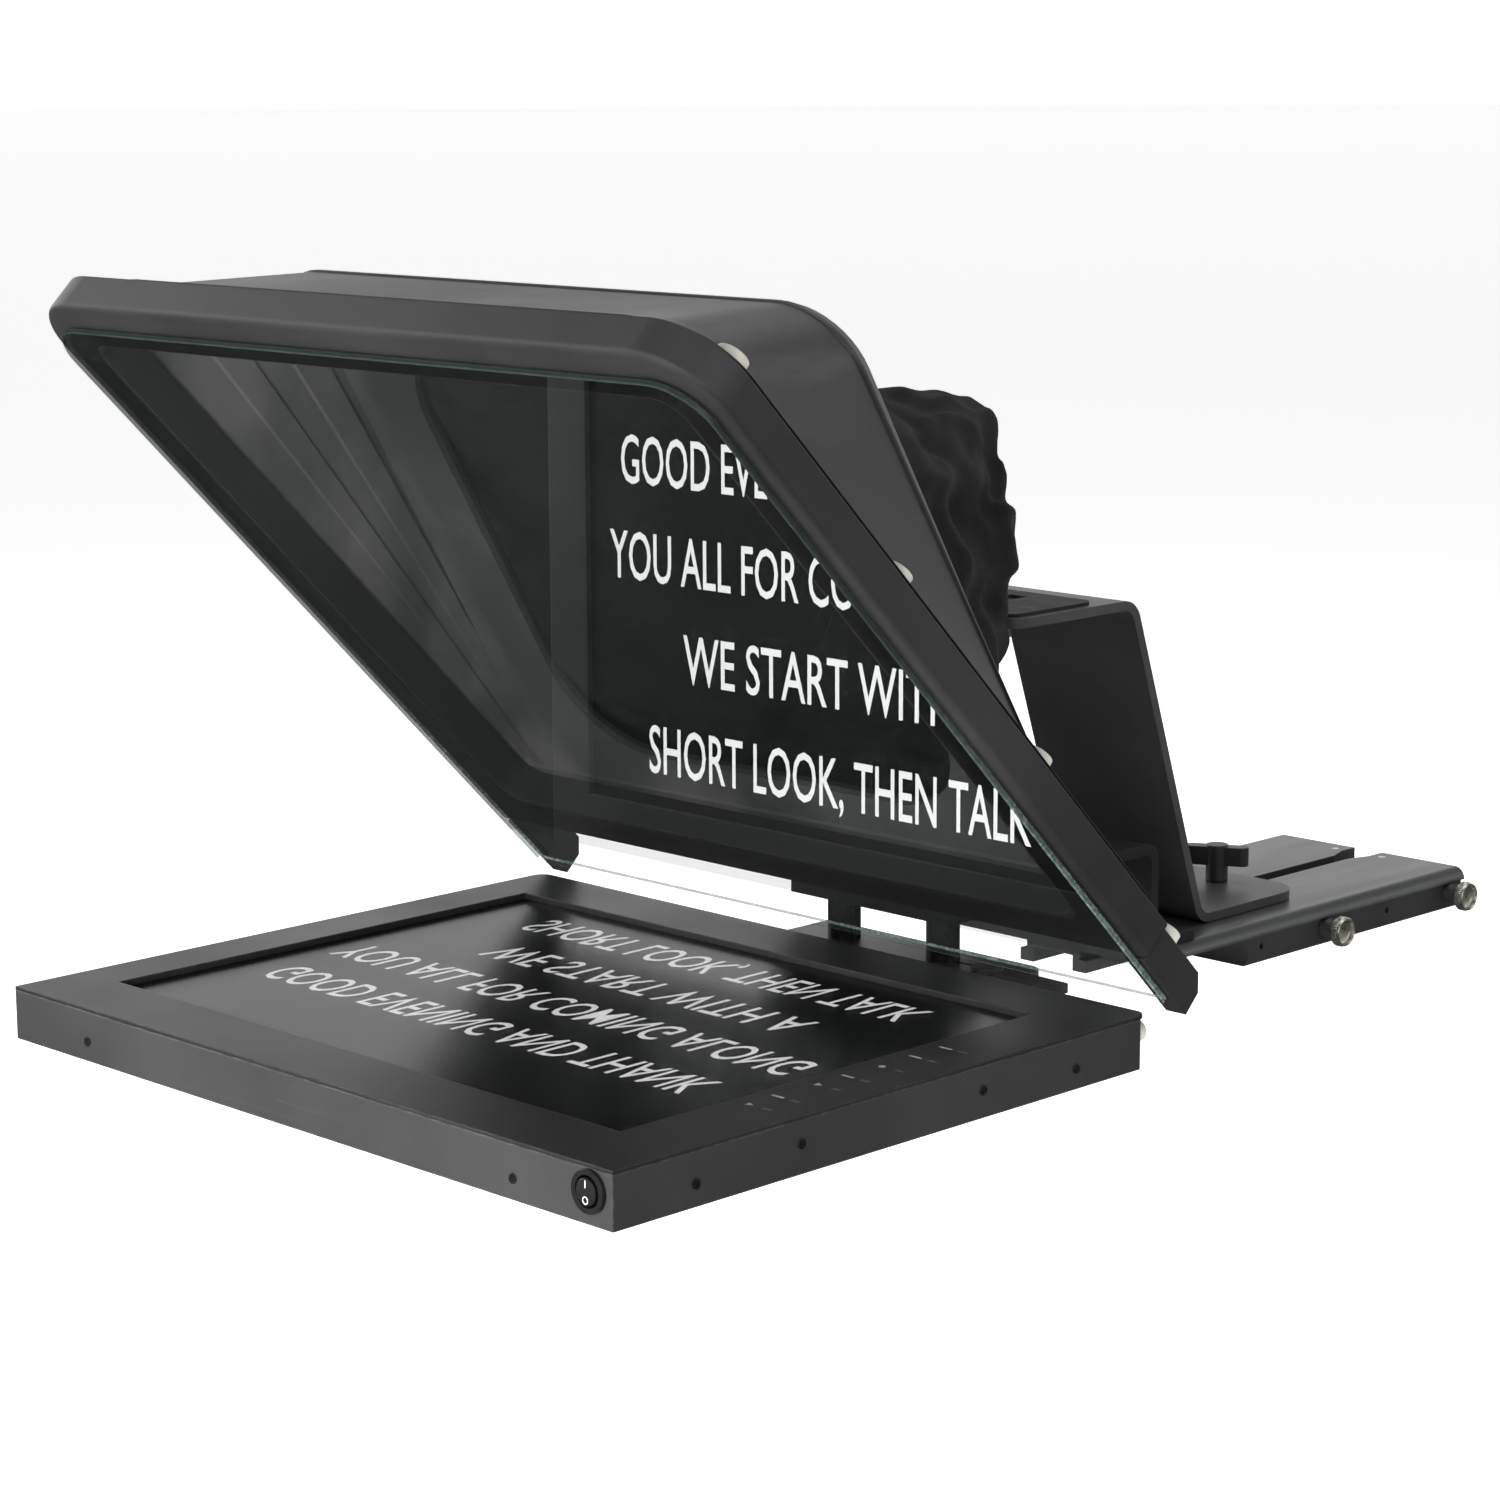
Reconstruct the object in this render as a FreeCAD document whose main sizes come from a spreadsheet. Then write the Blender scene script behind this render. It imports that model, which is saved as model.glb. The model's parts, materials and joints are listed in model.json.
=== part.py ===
import FreeCAD, Part
import math
import os
import re

import Sketcher

# Through-the-glass teleprompter on a sliding deck.
#
# Frame: millimetres, +Z up, +Y from the presenter towards the video camera, +X to the
# presenter's right.  The origin is the mouth of the 3/8 in tripod thread, on the underside
# of the base.  The reading screen lies flat in front, the beam-splitter glass stands over it
# at 45 degrees, a tapered hood closes the space behind the glass and a cloth sleeve leads
# from the hood to the lens.
#
# Two tilted frames are used.  GLASS: x across, y up the slope of the glass from its bottom
# edge, z out of the front of the glass.  RIM: x across, y up the rear rim of the hood from
# its bottom edge, z into the hood.

doc = FreeCAD.newDocument("Teleprompter")
sheet = doc.addObject("Spreadsheet::Sheet", "Dimensions")

DRIVING = [
    ("tripod_plate_thick", 5.0, "tripod plate thickness; its underside is z = 0"),
    ("base_half_width", 57.0, "half width of the base block"),
    ("base_half_length", 89.0, "half length of the base block"),
    ("base_top", 18.4, "height of the base block's top"),
    ("slide_gap", 0.3, "gap between sliding faces"),
    ("groove_floor", 8.3, "floor of the base's T groove"),
    ("groove_lip", 14.7, "underside of the groove's lips"),
    ("deck_top", 24.6, "height of the deck's top face"),
    ("deck_thick", 5.9, "thickness of the deck's plate"),
    ("deck_half_width", 59.0, "half width of the deck"),
    ("deck_front", -160.0, "front end of the deck"),
    ("deck_rear", 89.0, "rear end of the deck"),
    ("slot_half_width", 4.7, "half width of the deck's centre slot"),
    ("slot_mouth_half", 8.5, "half width of the slot's mouth at the rear"),
    ("slot_front", -64.0, "front end of the centre slot"),
    ("rib_neck_half", 16.0, "half width of the T rail's neck"),
    ("rib_foot_half", 20.0, "half width of the T rail's foot"),
    ("nut_cavity_half", 12.0, "half width of the clamp nut's cavity"),
    ("nut_cavity_top", 16.0, "top of the clamp nut's cavity"),
    ("knob_height", 13.0, "height of the side knobs' axes"),
    ("knob_front_y", -25.0, "front side knob"),
    ("knob_rear_y", 78.0, "rear side knob"),
    ("knob_radius", 7.3, "side knob head radius"),
    ("riser_thick", 4.5, "riser sheet thickness"),
    ("riser_half_width", 39.5, "half width of the riser"),
    ("riser_bend_y", -101.0, "lower bend of the riser"),
    ("riser_foot_rear", -18.5, "rear end of the riser's foot"),
    ("riser_top", 185.5, "height of the camera seat"),
    ("riser_flange_front", -235.0, "front end of the camera seat"),
    ("riser_lean", 18.7, "forward lean of the riser, degrees"),
    ("camera_screw_y", -205.0, "camera screw position along the seat"),
    ("camera_slot_half", 17.0, "half length of the camera screw's slot"),
    ("clamp_knob_y", -37.0, "clamp knob position"),
    ("bracket_half_width", 55.0, "half width of the hood bracket"),
    ("bracket_thick", 5.0, "hood bracket sheet thickness"),
    ("bracket_top", 75.0, "height of the hood bracket's shelf"),
    ("bracket_front", -292.0, "front end of the shelf"),
    ("rod_radius", 7.5, "15 mm rods"),
    ("rod_half_spacing", 30.0, "half of the 60 mm rod spacing"),
    ("rod_y", -270.0, "rods' position"),
    ("rod_bottom", -14.0, "lower ends of the rods"),
    ("glass_front_y", -312.0, "y of the glass's bottom front edge"),
    ("glass_front_z", 53.8, "z of the glass's bottom front edge"),
    ("glass_half_width", 188.8, "half width of the glass"),
    ("glass_length", 376.9, "length of the glass up its slope"),
    ("glass_thick", 3.2, "glass thickness"),
    ("gasket_thick", 0.5, "foam gasket thickness"),
    ("frame_half_width", 195.0, "half width of the glass frame"),
    ("frame_bottom", 28.0, "lower edge of the frame, along the slope"),
    ("frame_top", 389.0, "upper edge of the frame, along the slope"),
    ("frame_back", 20.0, "rear face of the frame behind the glass's front"),
    ("frame_window_half", 171.0, "half width of the frame's window"),
    ("frame_window_bottom", 51.0, "bottom of the frame's window"),
    ("frame_window_top", 365.0, "top of the frame's window"),
    ("hood_wall", 3.0, "hood wall thickness"),
    ("hood_front_half", 176.0, "half width of the hood at the frame"),
    ("hood_front_top", 386.0, "top of the hood's front end, along the slope"),
    ("hood_rear_half", 162.0, "half width of the hood's rear rim"),
    ("rim_y", -330.1, "y of the rim frame's origin"),
    ("rim_z", 104.0, "z of the rim frame's origin"),
    ("rim_length", 276.0, "length of the rim up its slope"),
    ("rim_angle", 120.5, "rotation of the rim frame about X, degrees"),
    ("hood_corner", 28.0, "radius of the hood's upper corners"),
    ("port_half_width", 118.0, "half width of the rear panel's opening"),
    ("port_bottom", 26.0, "bottom of the opening, up the rim"),
    ("port_top", 246.0, "top of the opening, up the rim"),
    ("port_corner", 45.0, "corner radius of the opening"),
    ("lens_z", 243.0, "height of the lens axis"),
    ("sleeve_end_y", -252.0, "rear end of the sleeve"),
    ("sleeve_end_radius", 48.0, "radius of the sleeve's gathered end at the lens"),
    ("sleeve_end_half", 60.0, "half width of the sleeve's rear end"),
    ("sleeve_end_bottom", 160.0, "lowest point of the sleeve's rear end"),
    ("monitor_half_width", 183.0, "half width of the monitor"),
    ("monitor_front", -610.0, "front face of the monitor"),
    ("monitor_rear", -320.7, "rear face of the monitor"),
    ("monitor_bottom", 27.6, "underside of the monitor"),
    ("monitor_top", 50.0, "top of the monitor"),
    ("tray_wall", 1.5, "sheet thickness of tray and bezel"),
    ("screen_left", -158.0, "left edge of the screen opening"),
    ("screen_right", 150.0, "right edge of the screen opening"),
    ("screen_front", -575.7, "front edge of the screen opening"),
    ("screen_rear", -348.8, "rear edge of the screen opening"),
    ("screen_height", 47.2, "height of the screen's surface"),
    ("bezel_rear", -315.7, "rear edge of the bezel's lip"),
    ("key_x", 170.0, "row of keys, x"),
    ("key_radius", 3.0, "key radius"),
    ("switch_x", 171.4, "power switch, x"),
    ("switch_z", 40.3, "power switch, z"),
]

for row, (alias, number, meaning) in enumerate(DRIVING, start=1):
    sheet.set("A%d" % row, meaning)
    sheet.set("B%d" % row, str(number))
    sheet.setAlias("B%d" % row, alias)
doc.recompute()

ALIASES = {alias for alias, number, meaning in DRIVING}
GLASS_TILT = 135.0
nodes = {}


# ---------------------------------------------------------------- expressions and placement
def named(expression):
    """Point each alias of an expression at the spreadsheet."""
    def full(match):
        word = match.group(0)
        return "Dimensions." + word if word in ALIASES else word
    return re.sub(r"[A-Za-z_]\w*", full, str(expression))


def value(expression):
    """The number that an expression of aliases stands for."""
    result = sheet.evalExpression(str(expression))
    return float(getattr(result, "Value", result))


def bind(thing, **properties):
    for name, expression in properties.items():
        thing.setExpression(name.replace("__", "."), named(expression))


def place(thing, x="0", y="0", z="0", tilt=0.0, axis=(1, 0, 0)):
    """Turn a thing about an axis, then bind its place."""
    thing.Placement = FreeCAD.Placement(FreeCAD.Vector(0, 0, 0), FreeCAD.Rotation(FreeCAD.Vector(*axis), tilt))
    bind(thing, Placement__Base__x=x, Placement__Base__y=y, Placement__Base__z=z)
    return thing


def on_glass(thing):
    return place(thing, y="glass_front_y", z="glass_front_z", tilt=GLASS_TILT)


def on_rim(thing):
    return place(thing, y="rim_y", z="rim_z", tilt=value("rim_angle"))


def node(label, thing):
    """Give a finished piece its node name."""
    thing.Label = label
    nodes[label] = thing
    return thing


# ---------------------------------------------------------------------------- primitives
def box(name, x, y, z):
    """A box between pairs of expressions."""
    thing = doc.addObject("Part::Box", name)
    bind(thing, Length="(%s)-(%s)" % (x[1], x[0]), Width="(%s)-(%s)" % (y[1], y[0]),
         Height="(%s)-(%s)" % (z[1], z[0]))
    return place(thing, x[0], y[0], z[0])


TURNS = {"Z": (0.0, (1, 0, 0)), "X": (90.0, (0, 1, 0)), "Y": (-90.0, (1, 0, 0))}


def cylinder(name, radius, length, x="0", y="0", z="0", along="Z"):
    """A cylinder that starts at a point and runs along +X, +Y or +Z."""
    thing = doc.addObject("Part::Cylinder", name)
    bind(thing, Radius=radius, Height=length)
    angle, axis = TURNS[along]
    return place(thing, x, y, z, angle, axis)


def join(name, things):
    thing = doc.addObject("Part::MultiFuse", name)
    thing.Shapes = things
    return thing


def group(name, things):
    """Separate solids kept together as one piece."""
    thing = doc.addObject("Part::Compound", name)
    thing.Links = things
    return thing


def cut(name, base, tools):
    thing = doc.addObject("Part::Cut", name)
    thing.Base = base
    thing.Tool = tools[0] if len(tools) == 1 else group(name + "_tools", tools)
    return thing


# ------------------------------------------------------------------------------ sketches
def new_body(name):
    return doc.addObject("PartDesign::Body", name)


def sketch(body, role, name, lift=None):
    """A sketch on one of the body's own origin planes, lifted along the plane's normal."""
    plane = [p for p in body.Origin.OriginFeatures if p.Role == role][0]
    drawing = body.newObject("Sketcher::SketchObject", name)
    drawing.AttachmentSupport = [(plane, "")]
    drawing.MapMode = "FlatFace"
    if lift is not None:
        drawing.setExpression("AttachmentOffset.Base.z", named(lift))
    return drawing


def outline(drawing, corners):
    """A closed polygon whose corners are bound to pairs of expressions."""
    points = [FreeCAD.Vector(value(a), value(b), 0) for a, b in corners]
    count = len(points)
    first = drawing.GeometryCount
    for i in range(count):
        drawing.addGeometry(Part.LineSegment(points[i], points[(i + 1) % count]), False)
    for i in range(count):
        drawing.addConstraint(Sketcher.Constraint("Coincident", first + i, 2, first + (i + 1) % count, 1))
    for i, (a, b) in enumerate(corners):
        for kind, expression, number in (("DistanceX", a, points[i].x), ("DistanceY", b, points[i].y)):
            index = drawing.addConstraint(Sketcher.Constraint(kind, -1, 1, first + i, 1, number))
            drawing.setExpression("Constraints[%d]" % index, named(expression))
    return drawing


def rectangle(drawing, left, right, low, high):
    return outline(drawing, [(left, low), (right, low), (right, high), (left, high)])


def pad(body, drawing, name, length, midplane=False, reverse=False):
    feature = body.newObject("PartDesign::Pad", name)
    feature.Profile = drawing
    feature.Midplane = midplane
    feature.Reversed = reverse
    feature.setExpression("Length", named(length))
    doc.recompute()
    return feature


def pocket(body, drawing, name, length, midplane=False, reverse=False):
    before = body.Shape.Volume
    feature = body.newObject("PartDesign::Pocket", name)
    feature.Profile = drawing
    feature.Midplane = midplane
    feature.Reversed = reverse
    feature.setExpression("Length", named(length))
    doc.recompute()
    if body.Shape.Volume > before - 1e-3:
        raise RuntimeError("pocket %s cuts nothing" % name)
    return feature


def edges_along(shape, direction, chosen):
    """Names of the straight edges along a direction whose middle passes a test."""
    names = []
    for index, edge in enumerate(shape.Edges, start=1):
        if len(edge.Vertexes) != 2 or edge.Curve.TypeId != "Part::GeomLine":
            continue
        run = edge.Vertexes[1].Point - edge.Vertexes[0].Point
        if run.Length > 1e-6 and abs(run.normalize().dot(direction)) > 0.999:
            if chosen((edge.Vertexes[0].Point + edge.Vertexes[1].Point) * 0.5):
                names.append("Edge%d" % index)
    return names


X_AXIS = FreeCAD.Vector(1, 0, 0)
Y_AXIS = FreeCAD.Vector(0, 1, 0)
Z_AXIS = FreeCAD.Vector(0, 0, 1)


def round_edges(body, name, radius, direction, chosen, kind="Fillet"):
    """Fillet or chamfer the edges of a body's last feature that pass a test."""
    last = body.Tip
    names = edges_along(last.Shape, direction, chosen)
    if not names:
        raise RuntimeError("no edge for %s" % name)
    feature = body.newObject("PartDesign::" + kind, name)
    feature.Base = (last, names)
    feature.setExpression("Radius" if kind == "Fillet" else "Size", named(radius))
    doc.recompute()
    return feature


def near(number, expression, within=0.6):
    return abs(number - value(expression)) < within


# --------------------------------------------------------------------------------- base
def make_base():
    """Aluminium block with a T groove along Y, a tripod plate and two thread bushes."""
    body = new_body("base_blank")
    profile = sketch(body, "XZ_Plane", "base_profile")
    neck = "(rib_neck_half+slide_gap)"
    foot = "(rib_foot_half+slide_gap)"
    outline(profile, [("-base_half_width", "tripod_plate_thick"), ("base_half_width", "tripod_plate_thick"),
                      ("base_half_width", "base_top"), (neck, "base_top"), (neck, "groove_lip"),
                      (foot, "groove_lip"), (foot, "groove_floor"), ("-" + foot, "groove_floor"),
                      ("-" + foot, "groove_lip"), ("-" + neck, "groove_lip"), ("-" + neck, "base_top"),
                      ("-base_half_width", "base_top")])
    pad(body, profile, "base_pad", "2*base_half_length", midplane=True)
    round_edges(body, "base_rear_cut", "3", X_AXIS,
                lambda p: near(p.y, "base_half_length") and near(p.z, "tripod_plate_thick"), "Chamfer")
    round_edges(body, "base_lower_edges", "1.2", Y_AXIS,
                lambda p: near(abs(p.x), "base_half_width") and near(p.z, "tripod_plate_thick"), "Chamfer")
    knob_bores = [cylinder("knob_bore", "2.55", "base_half_width", "rib_neck_half", spot, "knob_height", "X")
                  for spot in ("knob_front_y", "knob_rear_y")]
    side_holes = [cylinder("side_hole", "1.6", "4", "base_half_width-3.5", spot, "knob_height", "X")
                  for spot in ("-base_half_length+14", "26")]
    front_hollow = cylinder("front_hollow", "9", "2*base_half_width", "-base_half_width",
                            "-base_half_length-4", "tripod_plate_thick+7", "X")

    plate = new_body("tripod_plate_blank")
    rectangle(sketch(plate, "XY_Plane", "tripod_plate_outline"), "-35", "35", "-60", "60")
    pad(plate, plate.Group[-1], "tripod_plate_pad", "tripod_plate_thick")
    round_edges(plate, "tripod_plate_corners", "8", Z_AXIS, lambda p: True)

    bush_seats = [cylinder("bush_seat", "7", "groove_floor+1", "0", spot, "0") for spot in ("0", "36")]
    screws = []
    for x in ("-26", "26"):
        for y in ("-48", "48"):
            screws.append(join("plate_screw", [cylinder("head", "3.6", "2.2", x, y, "0.6"),
                                               cylinder("shank", "2", "8.6", x, y, "0.6")]))
    plate_screws = node("plate_screws", group("plate_screws", screws))
    head_wells = [cylinder("head_well", "3.6", "0.6", x, y, "0")
                  for x in ("-26", "26") for y in ("-48", "48")]
    recesses = knob_bores + side_holes + [front_hollow, plate_screws] + bush_seats
    node("base_block", cut("base_block", body, recesses))
    node("tripod_plate", cut("tripod_plate", plate, [plate_screws] + head_wells + bush_seats))
    for label, bore, spot in (("thread_bush_38", "4", "0"), ("thread_bush_14", "2.6", "36")):
        node(label, cut(label, cylinder(label + "_blank", "7", "8", "0", spot, "0"),
                        [cylinder(label + "_bore", bore, "9", "0", spot, "-0.5")]))


def make_side_knob(label, spot):
    """Knurled thumb screw: a dished disc clear of the deck, a neck, and a 5 mm shank to the T rail."""
    face = "base_half_width+slide_gap"
    shank_start = "rib_foot_half+0.4"
    neck = cylinder(label + "_neck", "knob_radius-1.9", "8", face, spot, "knob_height", "X")
    head = cylinder(label + "_head", "knob_radius", "5", face + "+7.7", spot, "knob_height", "X")
    shank = cylinder(label + "_shank", "2.5", "base_half_width-rib_foot_half", shank_start, spot,
                     "knob_height", "X")
    dish = cylinder(label + "_dish", "knob_radius-1.6", "3", face + "+10.4", spot,
                    "knob_height", "X")
    node(label, cut(label, join(label + "_solid", [head, neck, shank]), [dish]))


# --------------------------------------------------------------------------------- deck
def make_deck():
    """Extruded plate with round sides over a T rail, with a centre slot open at the rear."""
    body = new_body("deck_blank")
    profile = sketch(body, "XZ_Plane", "deck_profile", lift="-deck_rear")
    under = "deck_top-deck_thick"
    half = [("nut_cavity_half", "groove_floor+slide_gap"), ("rib_foot_half", "groove_floor+slide_gap"),
            ("rib_foot_half", "groove_lip-slide_gap"), ("rib_neck_half", "groove_lip-slide_gap"),
            ("rib_neck_half", under), ("deck_half_width", under), ("deck_half_width", "deck_top")]
    other = [("-" + x, z) for x, z in reversed(half)]
    cavity = [("-nut_cavity_half", "nut_cavity_top"), ("nut_cavity_half", "nut_cavity_top")]
    outline(profile, half + other + cavity)
    pad(body, profile, "deck_pad", "deck_rear-deck_front")
    round_edges(body, "deck_sides", "deck_thick-0.1", Y_AXIS,
                lambda p: near(abs(p.x), "deck_half_width") and near(p.z, "deck_top"))
    slot = sketch(body, "XY_Plane", "deck_slot", lift="deck_top+1")
    side = [("slot_half_width", "slot_front"), ("slot_half_width", "deck_rear-23"),
            ("slot_mouth_half", "deck_rear-11.5"), ("slot_mouth_half", "deck_rear+1")]
    outline(slot, side + [("-" + x, y) for x, y in reversed(side)])
    pocket(body, slot, "deck_slot_cut", "deck_top")
    round_edges(body, "slot_end", "slot_half_width-0.5", Z_AXIS, lambda p: near(p.y, "slot_front"))
    stops = [cylinder("stop_screw", "1.9", "3", x, "deck_rear-8.5", "deck_top-3") for x in ("-14.5", "14.5")]
    stop_screws = node("stop_screws", group("stop_screws", stops))

    bracket = new_body("hood_bracket_blank")
    bent = sketch(bracket, "YZ_Plane", "bracket_profile")
    low = "deck_top"
    rear = "deck_front+4"
    outline(bent, [("deck_front+36", low), ("deck_front+36", low + "+bracket_thick"),
                   (rear + "+bracket_thick", low + "+bracket_thick"), (rear + "+bracket_thick", "bracket_top"),
                   ("bracket_front", "bracket_top"), ("bracket_front", "bracket_top-bracket_thick"),
                   (rear, "bracket_top-bracket_thick"), (rear, low)])
    pad(bracket, bent, "bracket_pad", "2*bracket_half_width", midplane=True)
    round_edges(bracket, "bracket_outer_bends", "8", X_AXIS,
                lambda p: (near(p.y, rear) and near(p.z, low))
                or (near(p.y, rear + "+bracket_thick") and near(p.z, "bracket_top")))
    round_edges(bracket, "bracket_inner_bends", "3", X_AXIS,
                lambda p: (near(p.y, rear + "+bracket_thick") and near(p.z, low + "+bracket_thick"))
                or (near(p.y, rear) and near(p.z, "bracket_top-bracket_thick")))
    screws = []
    for x in ("-40", "-26", "26", "40"):
        screws.append(join("bracket_screw", [
            cylinder("head", "3.5", "2.6", x, "deck_front+22", "deck_top+bracket_thick"),
            cylinder("shank", "2", "bracket_thick+4.5", x, "deck_front+22", "deck_top-4.5")]))
    bracket_screws = node("bracket_screws", group("bracket_screws", screws))
    node("deck_rail", cut("deck_rail", body, [stop_screws, bracket_screws]))
    node("hood_bracket", cut("hood_bracket", bracket, [bracket_screws]))


def rod_spots():
    return (("left", "-rod_half_spacing"), ("right", "rod_half_spacing"))


def make_rods():
    """Two vertical 15 mm rods hang from a block under the hood bracket's shelf."""
    shelf = "bracket_top-bracket_thick"
    for side, x in rod_spots():
        node("rod_" + side, cylinder("rod_" + side, "rod_radius", shelf + "-rod_bottom", x, "rod_y",
                                     "rod_bottom"))
    upper = box("rod_block_upper_blank", ("-48", "48"), ("rod_y-16", "rod_y+16"), (shelf + "-12", shelf))
    node("rod_block_upper", cut("rod_block_upper", upper, [nodes["rod_left"], nodes["rod_right"]]))


def make_hood_mount():
    """Wedge block between the shelf and the back of the glass frame's lower bar."""
    body = new_body("hood_mount_block")
    profile = sketch(body, "YZ_Plane", "mount_profile")
    # The frame's rear face satisfies y + z = this sum.
    rear_plane = "(glass_front_y+glass_front_z+frame_back*sqrt(2))"
    top = "bracket_top+27"
    outline(profile, [("bracket_front+30", "bracket_top"), ("bracket_front+30", "bracket_top+9"),
                      ("bracket_front-4", top), (rear_plane + "-(" + top + ")", top),
                      (rear_plane + "-bracket_top", "bracket_top")])
    pad(body, profile, "mount_pad", "90", midplane=True)
    node("hood_mount_block", body)


# ----------------------------------------------------------------------- glass and frame
def rounded_plate(name, tilt, left, right, low, high, back, thick, radius_top, radius_low=None):
    """A plate on a tilted frame, its rear face 'back' behind the frame's plane."""
    body = new_body(name)
    drawing = sketch(body, "XY_Plane", name + "_outline", lift="-(%s)" % back)
    rectangle(drawing, left, right, low, high)
    pad(body, drawing, name + "_pad", thick)
    middle = value("((%s)+(%s))/2" % (low, high))
    round_edges(body, name + "_top_corners", radius_top, Z_AXIS, lambda p: p.y > middle)
    if radius_low:
        round_edges(body, name + "_low_corners", radius_low, Z_AXIS, lambda p: p.y < middle)
    tilt(body)
    return body


def make_glass():
    """Beam-splitter glass on a foam gasket, in front of a rectangular frame."""
    gasket_back = "glass_thick+gasket_thick"
    glass = rounded_plate("glass_pane", on_glass, "-glass_half_width", "glass_half_width", "0", "glass_length",
                          "glass_thick", "glass_thick", "20", "2")
    node("beam_splitter_glass", glass)
    gasket = rounded_plate("gasket_blank", on_glass, "-glass_half_width+2", "glass_half_width-2",
                           "frame_bottom+3", "glass_length-2", gasket_back, "gasket_thick", "18", "2")
    gasket_window = rounded_plate("gasket_window", on_glass, "-frame_window_half-2", "frame_window_half+2",
                                  "frame_window_bottom-2", "frame_window_top+1", gasket_back + "+1",
                                  "gasket_thick+2", "12", "12")
    node("glass_gasket", cut("glass_gasket", gasket, [gasket_window]))

    frame = rounded_plate("frame_blank", on_glass, "-frame_half_width", "frame_half_width", "frame_bottom",
                          "frame_top", "frame_back", "frame_back-glass_thick-gasket_thick", "hood_corner", "4")
    window = rounded_plate("frame_window", on_glass, "-frame_window_half", "frame_window_half",
                           "frame_window_bottom", "frame_window_top", "frame_back+1", "frame_back+2", "12", "12")
    round_edges(frame, "frame_front_edge", "2.5", X_AXIS,
                lambda p: near(p.y, "frame_top") and near(p.z, "-glass_thick-gasket_thick"))
    studs = []
    nuts = []
    for side in ("-", ""):
        for step, up in enumerate(("18.5", "134", "246", "364")):
            # The lowest pair clamps the corner blocks, the others the hood's flange.
            lift = "(frame_back+6)" if step else "(frame_back+4)"
            for pieces, blank in ((studs, cylinder("stud", "2", "12.4")), (nuts, cylinder("nut", "6.5", "4"))):
                on_glass(blank)
                bind(blank, Placement__Base__x=side + "(frame_half_width-10)",
                     Placement__Base__y="glass_front_y+(%s-%s)*sqrt(0.5)" % (lift, up),
                     Placement__Base__z="glass_front_z+(%s+%s)*sqrt(0.5)" % (lift, up))
                pieces.append(blank)
    frame_studs = node("frame_studs", group("frame_studs", studs))
    node("glass_frame", cut("glass_frame", frame, [window, frame_studs]))
    node("thumb_nuts", cut("thumb_nuts", group("nut_discs", nuts), [frame_studs]))

    for side, sign in (("left", "-"), ("right", "")):
        block = new_body("corner_blank_" + side)
        profile = sketch(block, "XZ_Plane", side + "_corner_profile", lift="-(frame_bottom)")
        inner = sign + "(glass_half_width-7.8)"
        outer = sign + "(glass_half_width+2.4)"
        outline(profile, [(inner, "-frame_back"), (outer, "-frame_back"), (outer, "-glass_thick"),
                          (inner, "-glass_thick")])
        pad(block, profile, side + "_corner_pad", "frame_bottom+11")
        round_edges(block, side + "_corner_tip", "6", X_AXIS,
                    lambda p: p.y < -10 and near(p.z, "-frame_back"), "Chamfer")
        on_glass(block)
        node("corner_block_" + side, cut("corner_block_" + side, block, [frame_studs]))


# --------------------------------------------------------------------------------- hood
def rounded_wire(half, low, high, radius_low, radius_top):
    """A rounded rectangle in the XY plane, as a wire of four lines and four arcs."""
    def corner(cx, cy, radius, start):
        centre = FreeCAD.Vector(cx, cy, 0)
        points = []
        for angle in (start, start + 45, start + 90):
            turn = math.radians(angle)
            points.append(centre + FreeCAD.Vector(math.cos(turn), math.sin(turn), 0) * radius)
        return points
    corners = [corner(half - radius_low, low + radius_low, radius_low, -90),
               corner(half - radius_top, high - radius_top, radius_top, 0),
               corner(-half + radius_top, high - radius_top, radius_top, 90),
               corner(-half + radius_low, low + radius_low, radius_low, 180)]
    edges = []
    for i, arc in enumerate(corners):
        edges.append(Part.Arc(*arc).toShape())
        edges.append(Part.makeLine(arc[2], corners[(i + 1) % 4][0]))
    return Part.Wire(edges)


def moved(wire, origin, angle, back=0.0):
    """Put a wire of the XY plane on a tilted frame, 'back' behind its plane."""
    turn = FreeCAD.Rotation(FreeCAD.Vector(1, 0, 0), angle)
    shift = turn.multVec(FreeCAD.Vector(0, 0, -back))
    wire = wire.copy()
    wire.Placement = FreeCAD.Placement(FreeCAD.Vector(*origin) + shift, turn)
    return wire


def glass_wire(half, low, high, radius_low, radius_top, back):
    origin = (0, value("glass_front_y"), value("glass_front_z"))
    return moved(rounded_wire(half, low, high, radius_low, radius_top), origin, GLASS_TILT, back)


def rim_wire(half, low, high, radius_low, radius_top, back):
    origin = (0, value("rim_y"), value("rim_z"))
    return moved(rounded_wire(half, low, high, radius_low, radius_top), origin, value("rim_angle"), back)


def feature(label, shape):
    thing = doc.addObject("Part::Feature", label)
    thing.Shape = shape
    thing.Placement = FreeCAD.Placement()
    return thing


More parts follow.
